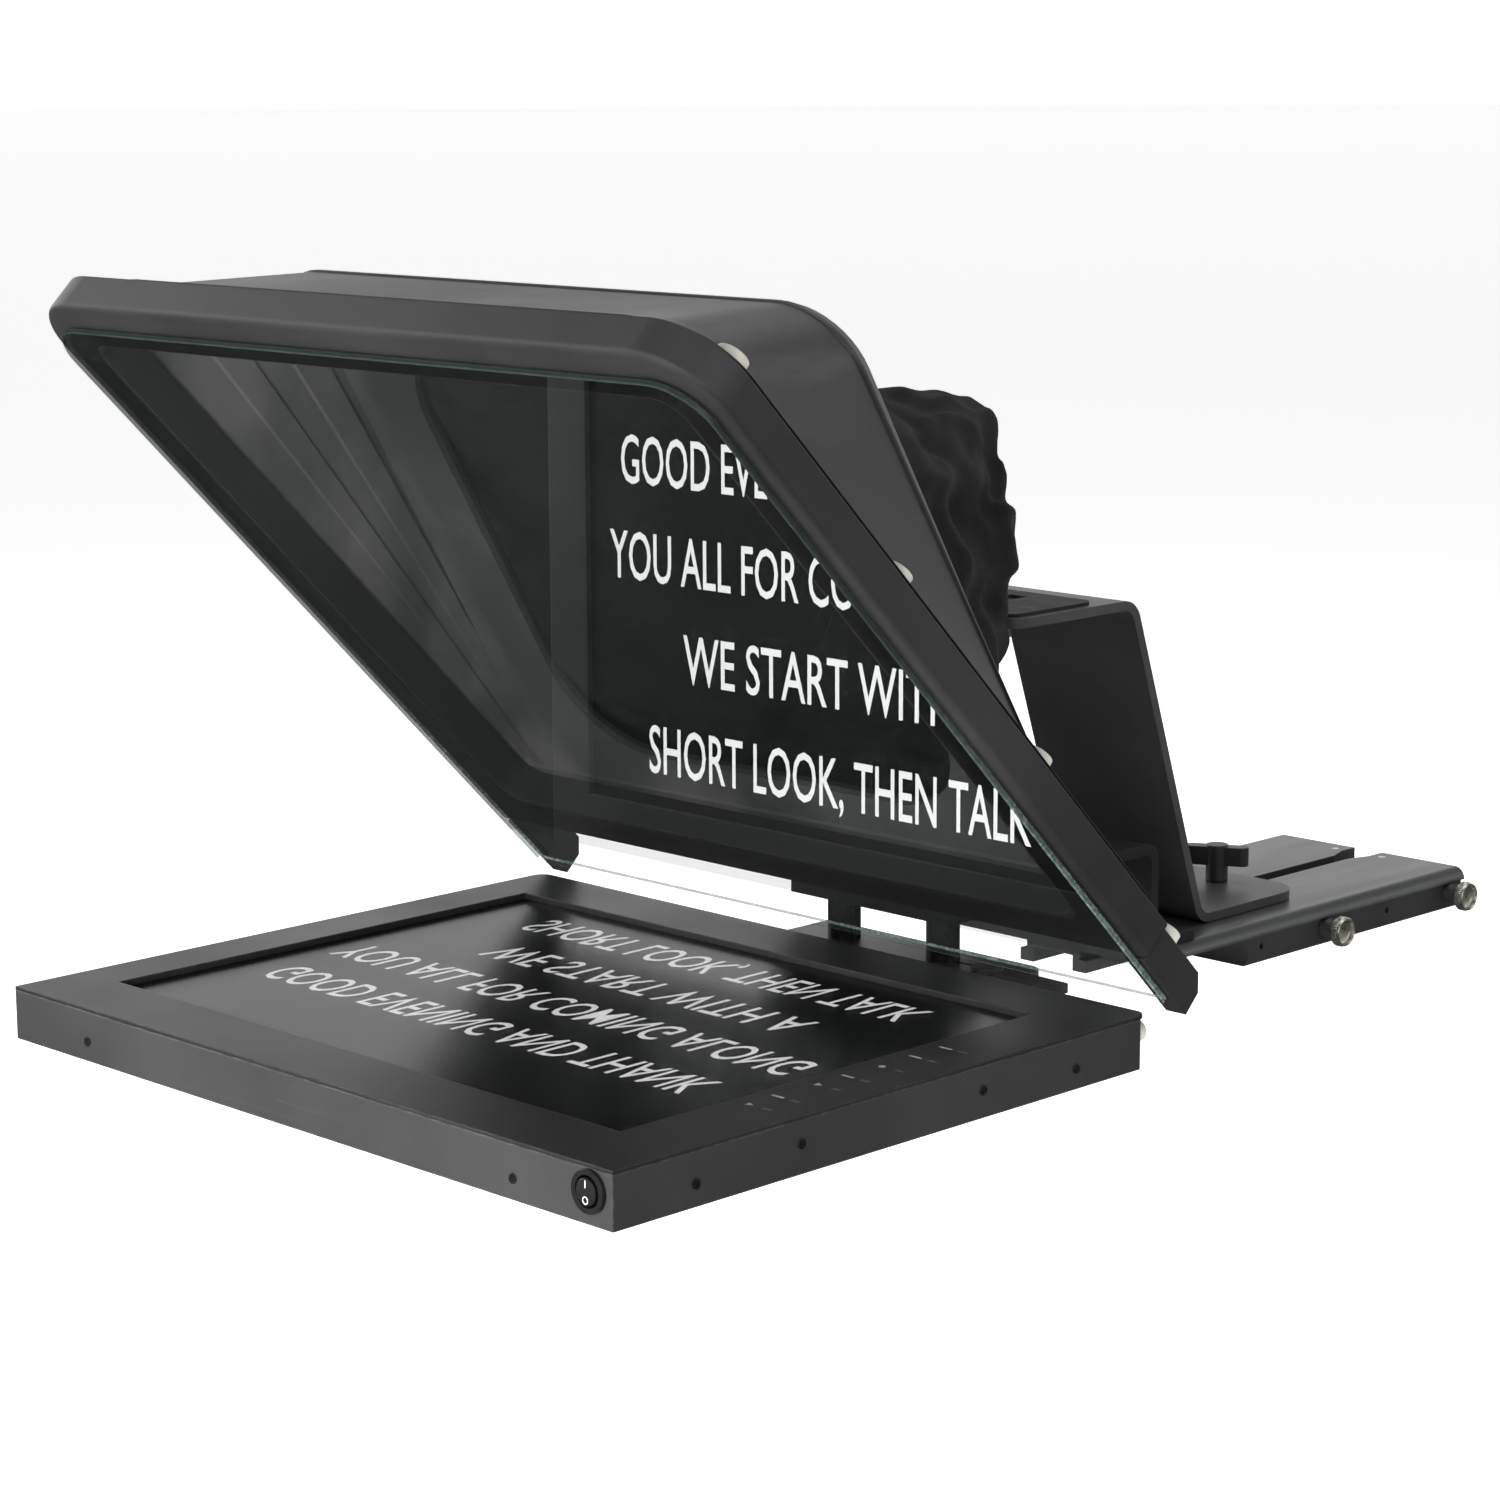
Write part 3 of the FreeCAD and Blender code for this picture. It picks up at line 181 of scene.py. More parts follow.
class Finish:
    """A procedural surface: mottled colour and roughness, grain bump, rounded edges painted lighter
    by wear and a painted highlight.
    """

    def __init__(self, name, color, roughness, metallic=0.0):
        self.made = plain(name, color, roughness, metallic)
        self.tree = self.made.node_tree
        self.shader = self.tree.nodes["Principled BSDF"]
        self.color = color
        self.roughness = roughness
        self.where = self.add("ShaderNodeTexCoord").outputs["Object"]
        self.tint = None
        self.bump = None

    def add(self, kind, **inputs):
        """New node; an input is given by its name, or by its number as _0, _1."""
        node = self.tree.nodes.new(kind)
        for name, value in inputs.items():
            numbered = name[1:].isdigit()
            socket = node.inputs[int(name[1:]) if numbered else name.replace("_", " ")]
            if isinstance(value, bpy.types.NodeSocket):
                self.tree.links.new(value, socket)
            else:
                socket.default_value = value
        return node

    def stretched(self, scale):
        return self.add("ShaderNodeMapping", Vector=self.where, Scale=scale).outputs[0]

    def clouds(self, scale, detail=3.0, vector=None):
        where = vector or self.where
        return self.add("ShaderNodeTexNoise", Vector=where, Scale=scale,
                        Detail=detail).outputs["Fac"]

    def span(self, source, low, high, start=0.3, end=0.7):
        """The part of a value from start to end, stretched to run from low to high."""
        return self.add("ShaderNodeMapRange", Value=source, From_Min=start, From_Max=end,
                        To_Min=low, To_Max=high).outputs[0]

    def math(self, kind, a, b=0.5):
        made = self.add("ShaderNodeMath", _0=a, _1=b)
        made.operation = kind
        return made.outputs[0]

    def blend(self, amount, a, b):
        made = self.tree.nodes.new("ShaderNodeMix")
        made.data_type = "RGBA"
        sockets = [s for s in made.inputs if s.type == "RGBA"]
        for socket, value in ((made.inputs[0], amount), (sockets[0], a), (sockets[1], b)):
            if isinstance(value, bpy.types.NodeSocket):
                self.tree.links.new(value, socket)
            else:
                socket.default_value = value if isinstance(value, float) else (*value, 1)
        return [s for s in made.outputs if s.type == "RGBA"][0]

    def mottle(self, scale, amount, rough=0.08, vector=None):
        """Cloudy variation of colour and roughness."""
        cloud = self.clouds(scale, 4.0, vector)
        dark = tuple(c * (1 - amount) for c in self.color)
        light = tuple(min(1.0, c * (1 + amount)) for c in self.color)
        self.tint = self.blend(self.span(cloud, 0.0, 1.0), self.tint or dark, light)
        self.tree.links.new(self.tint, self.shader.inputs["Base Color"])
        spread = self.span(cloud, self.roughness - rough, self.roughness + rough)
        self.tree.links.new(spread, self.shader.inputs["Roughness"])
        return self

    def grain(self, scale, strength, vector=None, distance=0.0002):
        """Fine bump of moulded, blasted or painted surfaces."""
        speck = self.clouds(scale, 2.0, vector)
        return self.relief(speck, strength, distance)

    def relief(self, height, strength, distance):
        """Bump laid over the bumps made before it."""
        bump = self.add("ShaderNodeBump", Strength=strength, Distance=distance, Height=height)
        if self.bump:
            self.tree.links.new(self.bump, bump.inputs["Normal"])
        self.bump = bump.outputs[0]
        self.tree.links.new(self.bump, self.shader.inputs["Normal"])
        return self

    def rounded(self, radius, edge_wear_and_highlight=0.0, worn_and_highlight_color=(0.3, 0.3, 0.3)):
        """Rounded edges that catch the light, and paint lighter along them: partly edge wear,
        partly a painted highlight.
        """
        edge = self.tree.nodes.new("ShaderNodeBevel")
        edge.samples = 4
        edge.inputs["Radius"].default_value = radius
        # Lighter paint in patches along the edges: partly wear, partly a painted highlight.
        if edge_wear_and_highlight:
            flat = self.add("ShaderNodeNewGeometry").outputs["Normal"]
            dot = self.add("ShaderNodeVectorMath", _0=flat, _1=edge.outputs[0])
            dot.operation = "DOT_PRODUCT"
            mask = self.span(dot.outputs["Value"], edge_wear_and_highlight, 0.0, 0.75, 0.98)
            patches = self.span(self.clouds(260.0, 4.0), 0.0, 1.0, 0.4, 0.65)
            patchy = self.math("MULTIPLY", mask, patches)
            self.tint = self.blend(patchy, self.tint or self.color, worn_and_highlight_color)
            self.tree.links.new(self.tint, self.shader.inputs["Base Color"])
        bumps = [n for n in self.tree.nodes if n.type == "BUMP"]
        first = [n for n in bumps if not n.inputs["Normal"].is_linked]
        end = first[0] if first else self.shader
        self.tree.links.new(edge.outputs[0], end.inputs["Normal"])
        return self


def make_finishes():
    """All finishes by name; most are named after the material slot that they paint."""
    made = {}

    def keep(name, *facts, **more):
        made[name] = Finish(name, *facts, **more)
        return made[name]

    # The last two numbers given to rounded() paint the edges lighter: partly wear, partly a painted
    # highlight.
    keep("anodised_black", (0.046, 0.046, 0.047), 0.38, 0.35).mottle(18.0, 0.16, 0.05).grain(
        2600.0, 0.16).rounded(0.0005, 0.5, (0.16, 0.16, 0.16))
    keep("riser_black", (0.070, 0.070, 0.071), 0.40, 0.35).mottle(18.0, 0.16, 0.05).grain(
        2600.0, 0.16).rounded(0.0005, 0.5, (0.2, 0.2, 0.2))
    keep("bracket_black", (0.014, 0.014, 0.015), 0.45, 0.3).mottle(18.0, 0.16, 0.05).grain(
        2600.0, 0.16).rounded(0.0005)
    keep("extruded_black", (0.082, 0.085, 0.085), 0.33, 0.4)
    rail = made["extruded_black"]
    rail.mottle(12.0, 0.12, 0.05, rail.stretched((6.0, 0.6, 6.0)))
    rail.grain(1500.0, 0.22, rail.stretched((1.0, 0.02, 1.0))).rounded(0.0005, 0.5, (0.2, 0.2, 0.2))
    keep("zinc_steel", (0.60, 0.60, 0.58), 0.30, 1.0).mottle(300.0, 0.15, 0.08).grain(
        2200.0, 0.12).rounded(0.0002)
    keep("black_screws", (0.022, 0.022, 0.024), 0.30, 0.6).mottle(400.0, 0.3, 0.08).rounded(
        0.0003, 0.8, (0.25, 0.25, 0.25))
    keep("knob_nickel", (0.60, 0.59, 0.52), 0.30, 0.95).mottle(240.0, 0.14, 0.07).grain(
        1900.0, 0.10)
    # Dark paint for the knobs' necks: painted shade.
    keep("zinc_dark", (0.10, 0.10, 0.095), 0.45, 0.8).mottle(240.0, 0.14, 0.07)
    keep("rod_black", (0.020, 0.020, 0.021), 0.28, 0.4).mottle(60.0, 0.2, 0.05).rounded(0.0006)
    keep("black_rubber", (0.012, 0.012, 0.012), 0.75).mottle(140.0, 0.25, 0.08).grain(1400.0, 0.3)
    keep("frame_plastic", (0.024, 0.024, 0.024), 0.50).mottle(9.0, 0.30, 0.07).grain(
        2400.0, 0.30).rounded(0.0009, 0.35, (0.13, 0.13, 0.13))
    keep("nut_ivory", (0.78, 0.76, 0.67), 0.42).mottle(120.0, 0.10, 0.06).grain(
        1500.0, 0.15).rounded(0.0009)
    keep("knob_plastic", (0.018, 0.018, 0.018), 0.40).mottle(60.0, 0.2, 0.05).grain(
        2600.0, 0.3).rounded(0.0011, 0.4, (0.1, 0.1, 0.1))
    keep("monitor_case", (0.040, 0.040, 0.041), 0.38).mottle(14.0, 0.14, 0.05).grain(
        1900.0, 0.34).rounded(0.0012, 0.55, (0.22, 0.22, 0.23))
    keep("bezel_black", (0.019, 0.019, 0.020), 0.37).mottle(11.0, 0.18, 0.05).grain(
        1900.0, 0.34).rounded(0.0008, 0.5, (0.20, 0.20, 0.21))
    keep("circuit_board", (0.02, 0.13, 0.05), 0.35).mottle(300.0, 0.4)
    keep("brass_posts", (0.7, 0.5, 0.2), 0.3, 1.0).mottle(300.0, 0.1)
    keep("switch_plastic", (0.012, 0.012, 0.012), 0.22).mottle(90.0, 0.2, 0.05).rounded(0.0006)
    keep("rocker_plastic", (0.014, 0.014, 0.014), 0.16).mottle(90.0, 0.2, 0.04).rounded(0.0008)
    keep("key_plastic", (0.03, 0.03, 0.03), 0.45).mottle(90.0, 0.2, 0.05).grain(
        2600.0, 0.2).rounded(0.0004)

    hood = keep("hood_plastic", (0.030, 0.030, 0.0305), 0.46)
    hood.mottle(6.5, 0.32, 0.07)
    scuffs = hood.clouds(30.0, 6.0, hood.stretched((1.0, 0.35, 1.6)))
    scuffed = hood.span(scuffs, 0.0, 0.5, 0.54, 0.70)
    hood.tint = hood.blend(scuffed, hood.tint, (0.075, 0.075, 0.075))
    hood.tree.links.new(hood.tint, hood.shader.inputs["Base Color"])
    hood.grain(1800.0, 0.25)
    # Near-black groove between the frame and the hood: painted shade in the recess.
    keep("groove_black", (0.004, 0.004, 0.004), 0.8).mottle(60.0, 0.2)
    # Inside of the same moulding, painted lighter than the outside as painted light; its lighter
    # streaks are painted highlights.
    inner = keep("hood_inside_painted_light", (0.070, 0.071, 0.072), 0.50)
    inner.mottle(8.0, 0.45, 0.08)
    highlight_streaks = inner.clouds(13.0, 6.0, inner.stretched((1.0, 1.0, 0.45)))
    highlight_streak_mask = inner.span(highlight_streaks, 0.0, 0.8, 0.48, 0.70)
    inner.tint = inner.blend(highlight_streak_mask, inner.tint, (0.20, 0.20, 0.195))
    inner.tree.links.new(inner.tint, inner.shader.inputs["Base Color"])
    inner.grain(1800.0, 0.25)

    cloth = keep("sleeve_cloth", (0.017, 0.017, 0.0175), 0.9)
    cloth.shader.inputs["Specular IOR Level"].default_value = 0.12
    cloth.shader.inputs["Sheen Weight"].default_value = 0.02
    cloth.shader.inputs["Sheen Roughness"].default_value = 0.45
    cloth.mottle(40.0, 0.3, 0.05)
    threads = []
    for direction in "ZX":
        wave = cloth.add("ShaderNodeTexWave", Vector=cloth.where, Scale=330.0, Distortion=1.2,
                         Detail=1.0)
        wave.bands_direction = direction
        threads.append(wave.outputs["Fac"])
    weave = cloth.math("MULTIPLY", *threads)
    cloth.relief(weave, 0.45, 0.0003).grain(700.0, 0.4, distance=0.0004)
    band = keep("elastic_band", (0.02, 0.02, 0.02), 0.85)
    band.mottle(200.0, 0.3)
    ribs = band.add("ShaderNodeTexWave", Vector=band.where, Scale=420.0, Distortion=0.4)
    band.relief(ribs.outputs["Fac"], 0.5, 0.0004)

    face = keep("screen_face", (0.006, 0.007, 0.008), 0.5)
    face.shader.inputs["Specular IOR Level"].default_value = 0.0
    face.mottle(30.0, 0.15, 0.02)
    pane = keep("screen_pane", (0.008, 0.009, 0.010), 0.21)
    pane.mottle(22.0, 0.2, 0.025)
    pane.shader.inputs["IOR"].default_value = 1.65
    facing = pane.add("ShaderNodeLayerWeight").outputs["Facing"]
    pane.tree.links.new(pane.span(facing, 0.10, 0.70, 0.2, 0.85), pane.shader.inputs["Alpha"])
    marks = keep("mark_paint", (0.62, 0.62, 0.60), 0.5)
    marks.mottle(500.0, 0.12)
    faint = keep("mark_grey", (0.16, 0.16, 0.16), 0.5)
    faint.mottle(500.0, 0.12)
    letters = keep("lit_letters", (0.02, 0.02, 0.02), 0.5)
    letters.mottle(900.0, 0.04)
    letters.shader.inputs["Emission Color"].default_value = (1, 1, 1, 1)
    letters.shader.inputs["Emission Strength"].default_value = 3.3
    letters.made.cycles.emission_sampling = "NONE"

    coat = keep("coated_glass", (0.90, 0.93, 0.92), 0.004, 1.0)
    height = coat.add("ShaderNodeSeparateXYZ", Vector=coat.where).outputs["Z"]
    sheet = coat.span(height, 0.06, 0.43, 0.0725, 0.0735)
    haze = coat.math("MULTIPLY", coat.span(coat.clouds(9.0, 5.0), 0.96, 1.0), sheet)
    coat.tree.links.new(haze, coat.shader.inputs["Alpha"])
    back = keep("bare_glass", (0.30, 0.36, 0.33), 0.02)
    back.tree.links.new(back.span(back.clouds(14.0, 5.0), 0.03, 0.05), back.shader.inputs["Alpha"])
    edge = keep("glass_edge", (0.16, 0.30, 0.22), 0.18)
    edge.shader.inputs["Alpha"].default_value = 0.7
    sparkle = edge.clouds(420.0, 5.0)
    edge.tint = edge.blend(edge.span(sparkle, 0.0, 1.0, 0.45, 0.75),
                           (0.13, 0.18, 0.15), (0.34, 0.42, 0.37))
    # Painted shade: the edge colour is blended towards near black from 0.11 m to 0.22 m up.
    level = edge.add("ShaderNodeSeparateXYZ", Vector=edge.where).outputs["Z"]
    dark = edge.span(level, 0.0, 1.0, 0.11, 0.22)
    edge.tint = edge.blend(dark, edge.tint, (0.030, 0.042, 0.036))
    edge.tree.links.new(edge.tint, edge.shader.inputs["Base Color"])
    edge.grain(600.0, 0.5, distance=0.0006)
    return made


def paint(piece, finish):
    """Make a finish the piece's only material."""
    piece.data.materials.clear()
    piece.data.materials.append(finish.made)


def paint_nodes(finishes):
    """Give each carried-over CAD node its procedural finish."""
    named = {part["node"]: part["material_slot"] for part in frame["record"]["subparts"]}
    other = {"deck_rail": "extruded_black", "riser_plate": "riser_black",
             "tray_screws": "black_screws", "screen_glass": "screen_pane",
             "lcd_module": "screen_face", "monitor_bezel": "bezel_black",
             "hood_bracket": "bracket_black", "rod_block_upper": "bracket_black",
             # The rear panel takes the inside's painted light.
             "hood_mount_block": "bracket_black", "hood_rear_panel": "hood_inside_painted_light"}
    for name, node in nodes.items():
        slot = other.get(name, named[name])
        if slot in finishes:
            paint(node, finishes[slot])


# ------------------------------------------------------------------------- mesh helpers
def new_piece(name, vertices, faces, body, slot, smooth=None):
    """Mesh object, attached to the body it rides on where it has one; the slot argument is not
    used.
    """
    mesh = bpy.data.meshes.new(name)
    mesh.from_pydata([tuple(v) for v in vertices], [], faces)
    mesh.update()
    piece = bpy.data.objects.new(name, mesh)
    bpy.context.scene.collection.objects.link(piece)
    if smooth is not None:
        soften(mesh, smooth)
    if body:
        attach(piece, body)
    return piece


def soften(mesh, degrees):
    """Smooth shading with creases where faces meet at more than an angle."""
    shape = bmesh.new()
    shape.from_mesh(mesh)
    bmesh.ops.recalc_face_normals(shape, faces=shape.faces)
    limit = math.radians(degrees)
    for face in shape.faces:
        face.smooth = True
    for edge in shape.edges:
        edge.smooth = len(edge.link_faces) == 2 and edge.calc_face_angle(0.0) < limit
    shape.to_mesh(mesh)
    shape.free()


def outline(half, low, high, radius_low, radius_top, steps=10, run=8):
    """Rounded rectangle as (across, up) pairs, always with the same number of points."""
    corners = ((half - radius_low, low + radius_low, radius_low, -90),
               (half - radius_top, high - radius_top, radius_top, 0),
               (-half + radius_top, high - radius_top, radius_top, 90),
               (-half + radius_low, low + radius_low, radius_low, 180))
    arcs = []
    for cx, cy, radius, start in corners:
        turns = [math.radians(start + 90 * i / steps) for i in range(steps + 1)]
        arcs.append([(cx + radius * math.cos(t), cy + radius * math.sin(t)) for t in turns])
    points = []
    for i, arc in enumerate(arcs):
        points += arc
        (ax, ay), (bx, by) = arc[-1], arcs[(i + 1) % 4][0]
        points += [(ax + (bx - ax) * k / run, ay + (by - ay) * k / run) for k in range(1, run)]
    return points


def on_glass(points, behind):
    """Points of the glass plane (across, up the slope), moved behind it; millimetres in."""
    return [Vector((x * MM, GLASS_Y + (behind - s) * C45 * MM, GLASS_Z + (behind + s) * C45 * MM))
            for x, s in points]


def on_rim(points, behind):
    """Points of the hood's rear rim plane, moved behind it; millimetres in."""
    start = Vector((0, RIM_Y, RIM_Z))
    return [start + Vector((x * MM, 0, 0)) + RIM_UP * t * MM + RIM_BACK * behind * MM
            for x, t in points]


def between(a, b, share):
    """Ring of points part of the way from one ring to another."""
    return [p.lerp(q, share) for p, q in zip(a, b)]


def skin(rings, closed=False, caps=False):
    """Quads between successive rings of points."""
    count = len(rings[0])
    vertices = [p for ring in rings for p in ring]
    faces = []
    last = len(rings) if closed else len(rings) - 1
    for i in range(last):
        a, b = i * count, ((i + 1) % len(rings)) * count
        faces += [(a + k, a + (k + 1) % count, b + (k + 1) % count, b + k) for k in range(count)]
    if caps:
        faces += [tuple(reversed(range(count))), tuple(range(len(vertices) - count, len(vertices)))]
    return vertices, faces


# -------------------------------------------------------------------------------- hood
GROOVE_RINGS, OUTER_RINGS = 2, 26
# Share of the way from the glass to the rear rim, and millimetres out from the straight wall.
HOOD_WALL = ((0.12, 0), (0.25, 0), (0.4, 0), (0.55, 0), (0.7, 0), (0.82, 0))
HOOD_BEAD = ((0.895, 0), (0.905, 0.7), (0.915, 1.0), (0.93, 1.0), (0.94, 0.7), (0.95, 0.0))
HOOD_RIM = ((0.965, -0.2), (0.98, -0.7), (0.992, -1.5), (1.0, -2.6), (0.998, -3.1))
HOOD_STEPS = ((0.97, -3.2), (0.90, -3.2), (0.885, -4.6), (0.70, -4.6), (0.685, -3.4), (0.50, -3.4),
              (0.485, -4.4), (0.30, -4.4), (0.285, -3.2), (0.1, -3.2))


def make_hood(finishes):
    """Moulded hood: flange, filleted body with a raised bead near its rear rim, stepped inside."""
    def front(out, behind):
        return on_glass(outline(176 + out, 53 - out, 382 + out * 0.6, 6, 32 + out), behind)

    def body(share, out):
        low = 0.2 - (0.2 * out if out > 0 else 1.35 * out)
        rear = on_rim(outline(162 + out, low, 276 + out, 6, 28 + out), 0)
        return between(front(out, 22), rear, share)

    inner = outline(190.6, 46.0, 382.6, 4, 26)
    flange = outline(193.8, 45.2, 385.8, 6, 28)
    rings = [on_glass(inner, 20.05), on_glass(inner, 21.3), on_glass(flange, 21.4),
             on_glass(flange, 21.8), on_glass(outline(193.3, 45.5, 385.4, 6, 27.7), 22),
             front(4.2, 22.02), front(3.9, 23.0), front(2.2, 23.5), front(0.8, 23.9),
             front(0.0, 26.0)]
    rings += [body(share, out) for share, out in HOOD_WALL + HOOD_BEAD + HOOD_RIM + HOOD_STEPS]
    rings.append(on_glass(outline(172.6, 55, 378, 4, 28), 20.05))
    vertices, faces = skin(rings, closed=True)
    hood = new_piece("hood_moulding", vertices, faces, "deck", "hood_plastic", smooth=35)
    paint(hood, finishes["hood_plastic"])
    # The inside faces take the finish painted lighter as painted light.
    hood.data.materials.append(finishes["hood_inside_painted_light"].made)
    # The groove's faces take the near-black painted shade.
    hood.data.materials.append(finishes["groove_black"].made)
    groove, inside = len(rings[0]) * GROOVE_RINGS, len(rings[0]) * OUTER_RINGS
    for face in hood.data.polygons:
        face.material_index = 2 if face.index < groove else int(face.index >= inside)
    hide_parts("hood_shell")


def make_glass(finishes):
    """Pane with a ground green edge; its front is the coated side."""
    def shape(inset):
        return outline(PANE_HALF - inset, inset, PANE_LENGTH - inset, 2.5, PANE_CORNER - inset,
                       run=12)

    profile = ((0.5, 0), (0, 0.5), (0, 2.3), (0.9, 3.2))
    rings = [on_glass(shape(inset), behind) for inset, behind in profile]
    vertices, faces = skin(rings, caps=True)
    pane = new_piece("glass_pane", vertices, faces, "deck", "splitter_glass")
    for finish in ("glass_edge", "coated_glass", "bare_glass"):
        pane.data.materials.append(finishes[finish].made)
    coated, bare = 1, 2
    for face in pane.data.polygons:
        low = face.center.z < GLASS_Z + 0.003
        if low and abs(face.normal.y + face.normal.z) < 0.1:
            face.material_index = bare
    pane.data.polygons[len(faces) - 2].material_index = coated
    pane.data.polygons[len(faces) - 1].material_index = bare
    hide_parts("beam_splitter_glass")


# ------------------------------------------------------------------------------ sleeve
SLEEVE_RINGS, MOUTH_RINGS = 44, 9
SLEEVE_ARC, SLEEVE_RUN = 24, 20  # points round a corner and along a side
DRAPE_FRAMES, DRAPE_LIMIT = 24, 0.007
HEM_RADIUS, HEM_RINGS, HEM_POINTS = 42.4, 8, 176


def sleeve_rings(count):
    """Cloth from the rear opening to the lens, before it sags: the loft, then the gathered end."""
    start = on_rim(outline(122.5, 21.5, 250.5, 48, 48, SLEEVE_ARC, SLEEVE_RUN), 2.2)
    rings = []
    end_y = SLEEVE_END_Y * 1000

    def upright(half, low, high, radius, y):
        flat = outline(half, low, high, radius, radius, SLEEVE_ARC, SLEEVE_RUN)
        return [Vector((x * MM, y * MM, LENS_Z + z * MM)) for x, z in flat]

    bag = upright(66, -98, 49, 40, end_y - 1)
    for i in range(count + 1):
        share = i / count
        ring = between(start, bag, share)
        middle = sum(ring, Vector()) / len(ring)
        rise = min(1.0, share / 0.55) ** 2
        folds = []
        for k, p in enumerate(ring):
            turn = 2 * math.pi * k / len(ring)
            place = Vector((2.6 * math.cos(turn), 2.6 * math.sin(turn), 0))
            pleat = noise.noise(place * 2.1 + Vector((0, 0, 1.6 * share)))
            crumple = noise.noise(place * 0.9 + Vector((7, 3, 8.5 * share)))
            ruck = 1 - abs(2 * noise.noise(place * 0.7 + Vector((1, 9, 5.2 * share))))
            ridge = (1 - abs(noise.noise(place * 1.25 + Vector((4, 2, 3.4 * share))))) ** 6
            high = max(0.0, math.sin(turn + 0.35))
            depth = (0.007 * pleat * (0.2 + 0.8 * high) + 0.008 * crumple * high
                     + (0.006 * (ruck - 0.8) + 0.007 * (ridge - 0.6)) * high) * rise
            folds.append(p + (p - middle).normalized() * (depth - 0.002 * rise))
        rings.append(folds)
    last = rings[-1]
    for i in range(1, MOUTH_RINGS + 1):
        share = i / MOUTH_RINGS
        mouth = upright(41.5, -46.5, 36.5, 41.4, end_y - 1 - 1.2 * share)
        ring = between(last, mouth, share)
        middle = Vector((0, end_y * MM, HEM_Z))
        gathered = []
        for k, p in enumerate(ring):
            turn = 2 * math.pi * k / len(ring)
            uneven = 1 + 1.6 * noise.noise(Vector((3 * math.cos(turn), 3 * math.sin(turn), 4.4)))
            wave = math.sin(36 * turn + 2.4 * math.sin(3 * turn)) * uneven
            gathered.append(p + Vector((0, -0.0022, 0)) * (1 - share) * wave
                            + (p - middle).normalized() * 0.0007 * share * wave)
        rings.append(gathered)
    return rings


def drape(piece, pinned, frames, limit):
    """Let gravity and slack fold the cloth, and keep the result in the mesh."""
    before = [v.co.copy() for v in piece.data.vertices]
    group = piece.vertex_groups.new(name="pinned")
    group.add(pinned, 1.0, "REPLACE")
    cloth = piece.modifiers.new("cloth", "CLOTH")
    settings = cloth.settings
    settings.quality = 5
    settings.mass = 0.12
    settings.tension_stiffness = settings.compression_stiffness = 12
    settings.shear_stiffness = 5
    settings.bending_stiffness = 0.12
    settings.vertex_group_mass = "pinned"
    settings.shrink_min = -0.07
    cloth.collision_settings.use_collision = False
    cloth.collision_settings.use_self_collision = False
    cloth.point_cache.frame_start, cloth.point_cache.frame_end = 1, frames
    scene = bpy.context.scene
    for step in range(1, frames + 1):
        scene.frame_set(step)
    shape = piece.evaluated_get(bpy.context.evaluated_depsgraph_get())
    after = [v.co.copy() for v in shape.data.vertices]
    piece.modifiers.remove(cloth)
    scene.frame_set(1)
    for vertex, old, new in zip(piece.data.vertices, before, after):
        move = new - old
        far = move.length
        vertex.co = old + move * (limit * math.tanh(far / limit) / far) if far > 1e-9 else old
    piece.vertex_groups.clear()


def make_sleeve(finishes):
    """Black cloth sleeve, sagging between the hood and the lens, with its elastic hem."""
    rings = sleeve_rings(SLEEVE_RINGS)
    vertices, faces = skin(rings)
    sleeve = new_piece("lens_sleeve_cloth", vertices, faces, None, "sleeve_cloth")
    count = len(rings[0])
    held = (0, len(rings) - 2, len(rings) - 1)
    pinned = [i * count + k for i in held for k in range(count)]
    drape(sleeve, pinned, DRAPE_FRAMES, DRAPE_LIMIT)
    for face in sleeve.data.polygons:
        face.use_smooth = True
    solid = sleeve.modifiers.new("thickness", "SOLIDIFY")
    solid.thickness = 0.0007
    solid.offset = 0
    fine = sleeve.modifiers.new("fine", "SUBSURF")
    fine.levels = fine.render_levels = 1
    paint(sleeve, finishes["sleeve_cloth"])
    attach(sleeve, "deck")
    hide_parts("lens_sleeve", "sleeve_elastic")

    hem = []
    for i in range(HEM_RINGS):
        turn = 2 * math.pi * i / HEM_RINGS
        ring = []
        for k in range(HEM_POINTS):
            angle = 2 * math.pi * k / HEM_POINTS
            radius = HEM_RADIUS + 1.9 * math.cos(turn) + 0.5 * math.sin(44 * angle)
            y = SLEEVE_END_Y - 0.0012 + 0.0024 * math.sin(turn)
            ring.append(Vector((radius * MM * math.cos(angle), y,
                                HEM_Z + radius * MM * math.sin(angle))))
        hem.append(ring)
    vertices, faces = skin(hem, closed=True)
    band = new_piece("sleeve_hem", vertices, faces, "deck", "elastic_band", smooth=70)
    paint(band, finishes["elastic_band"])


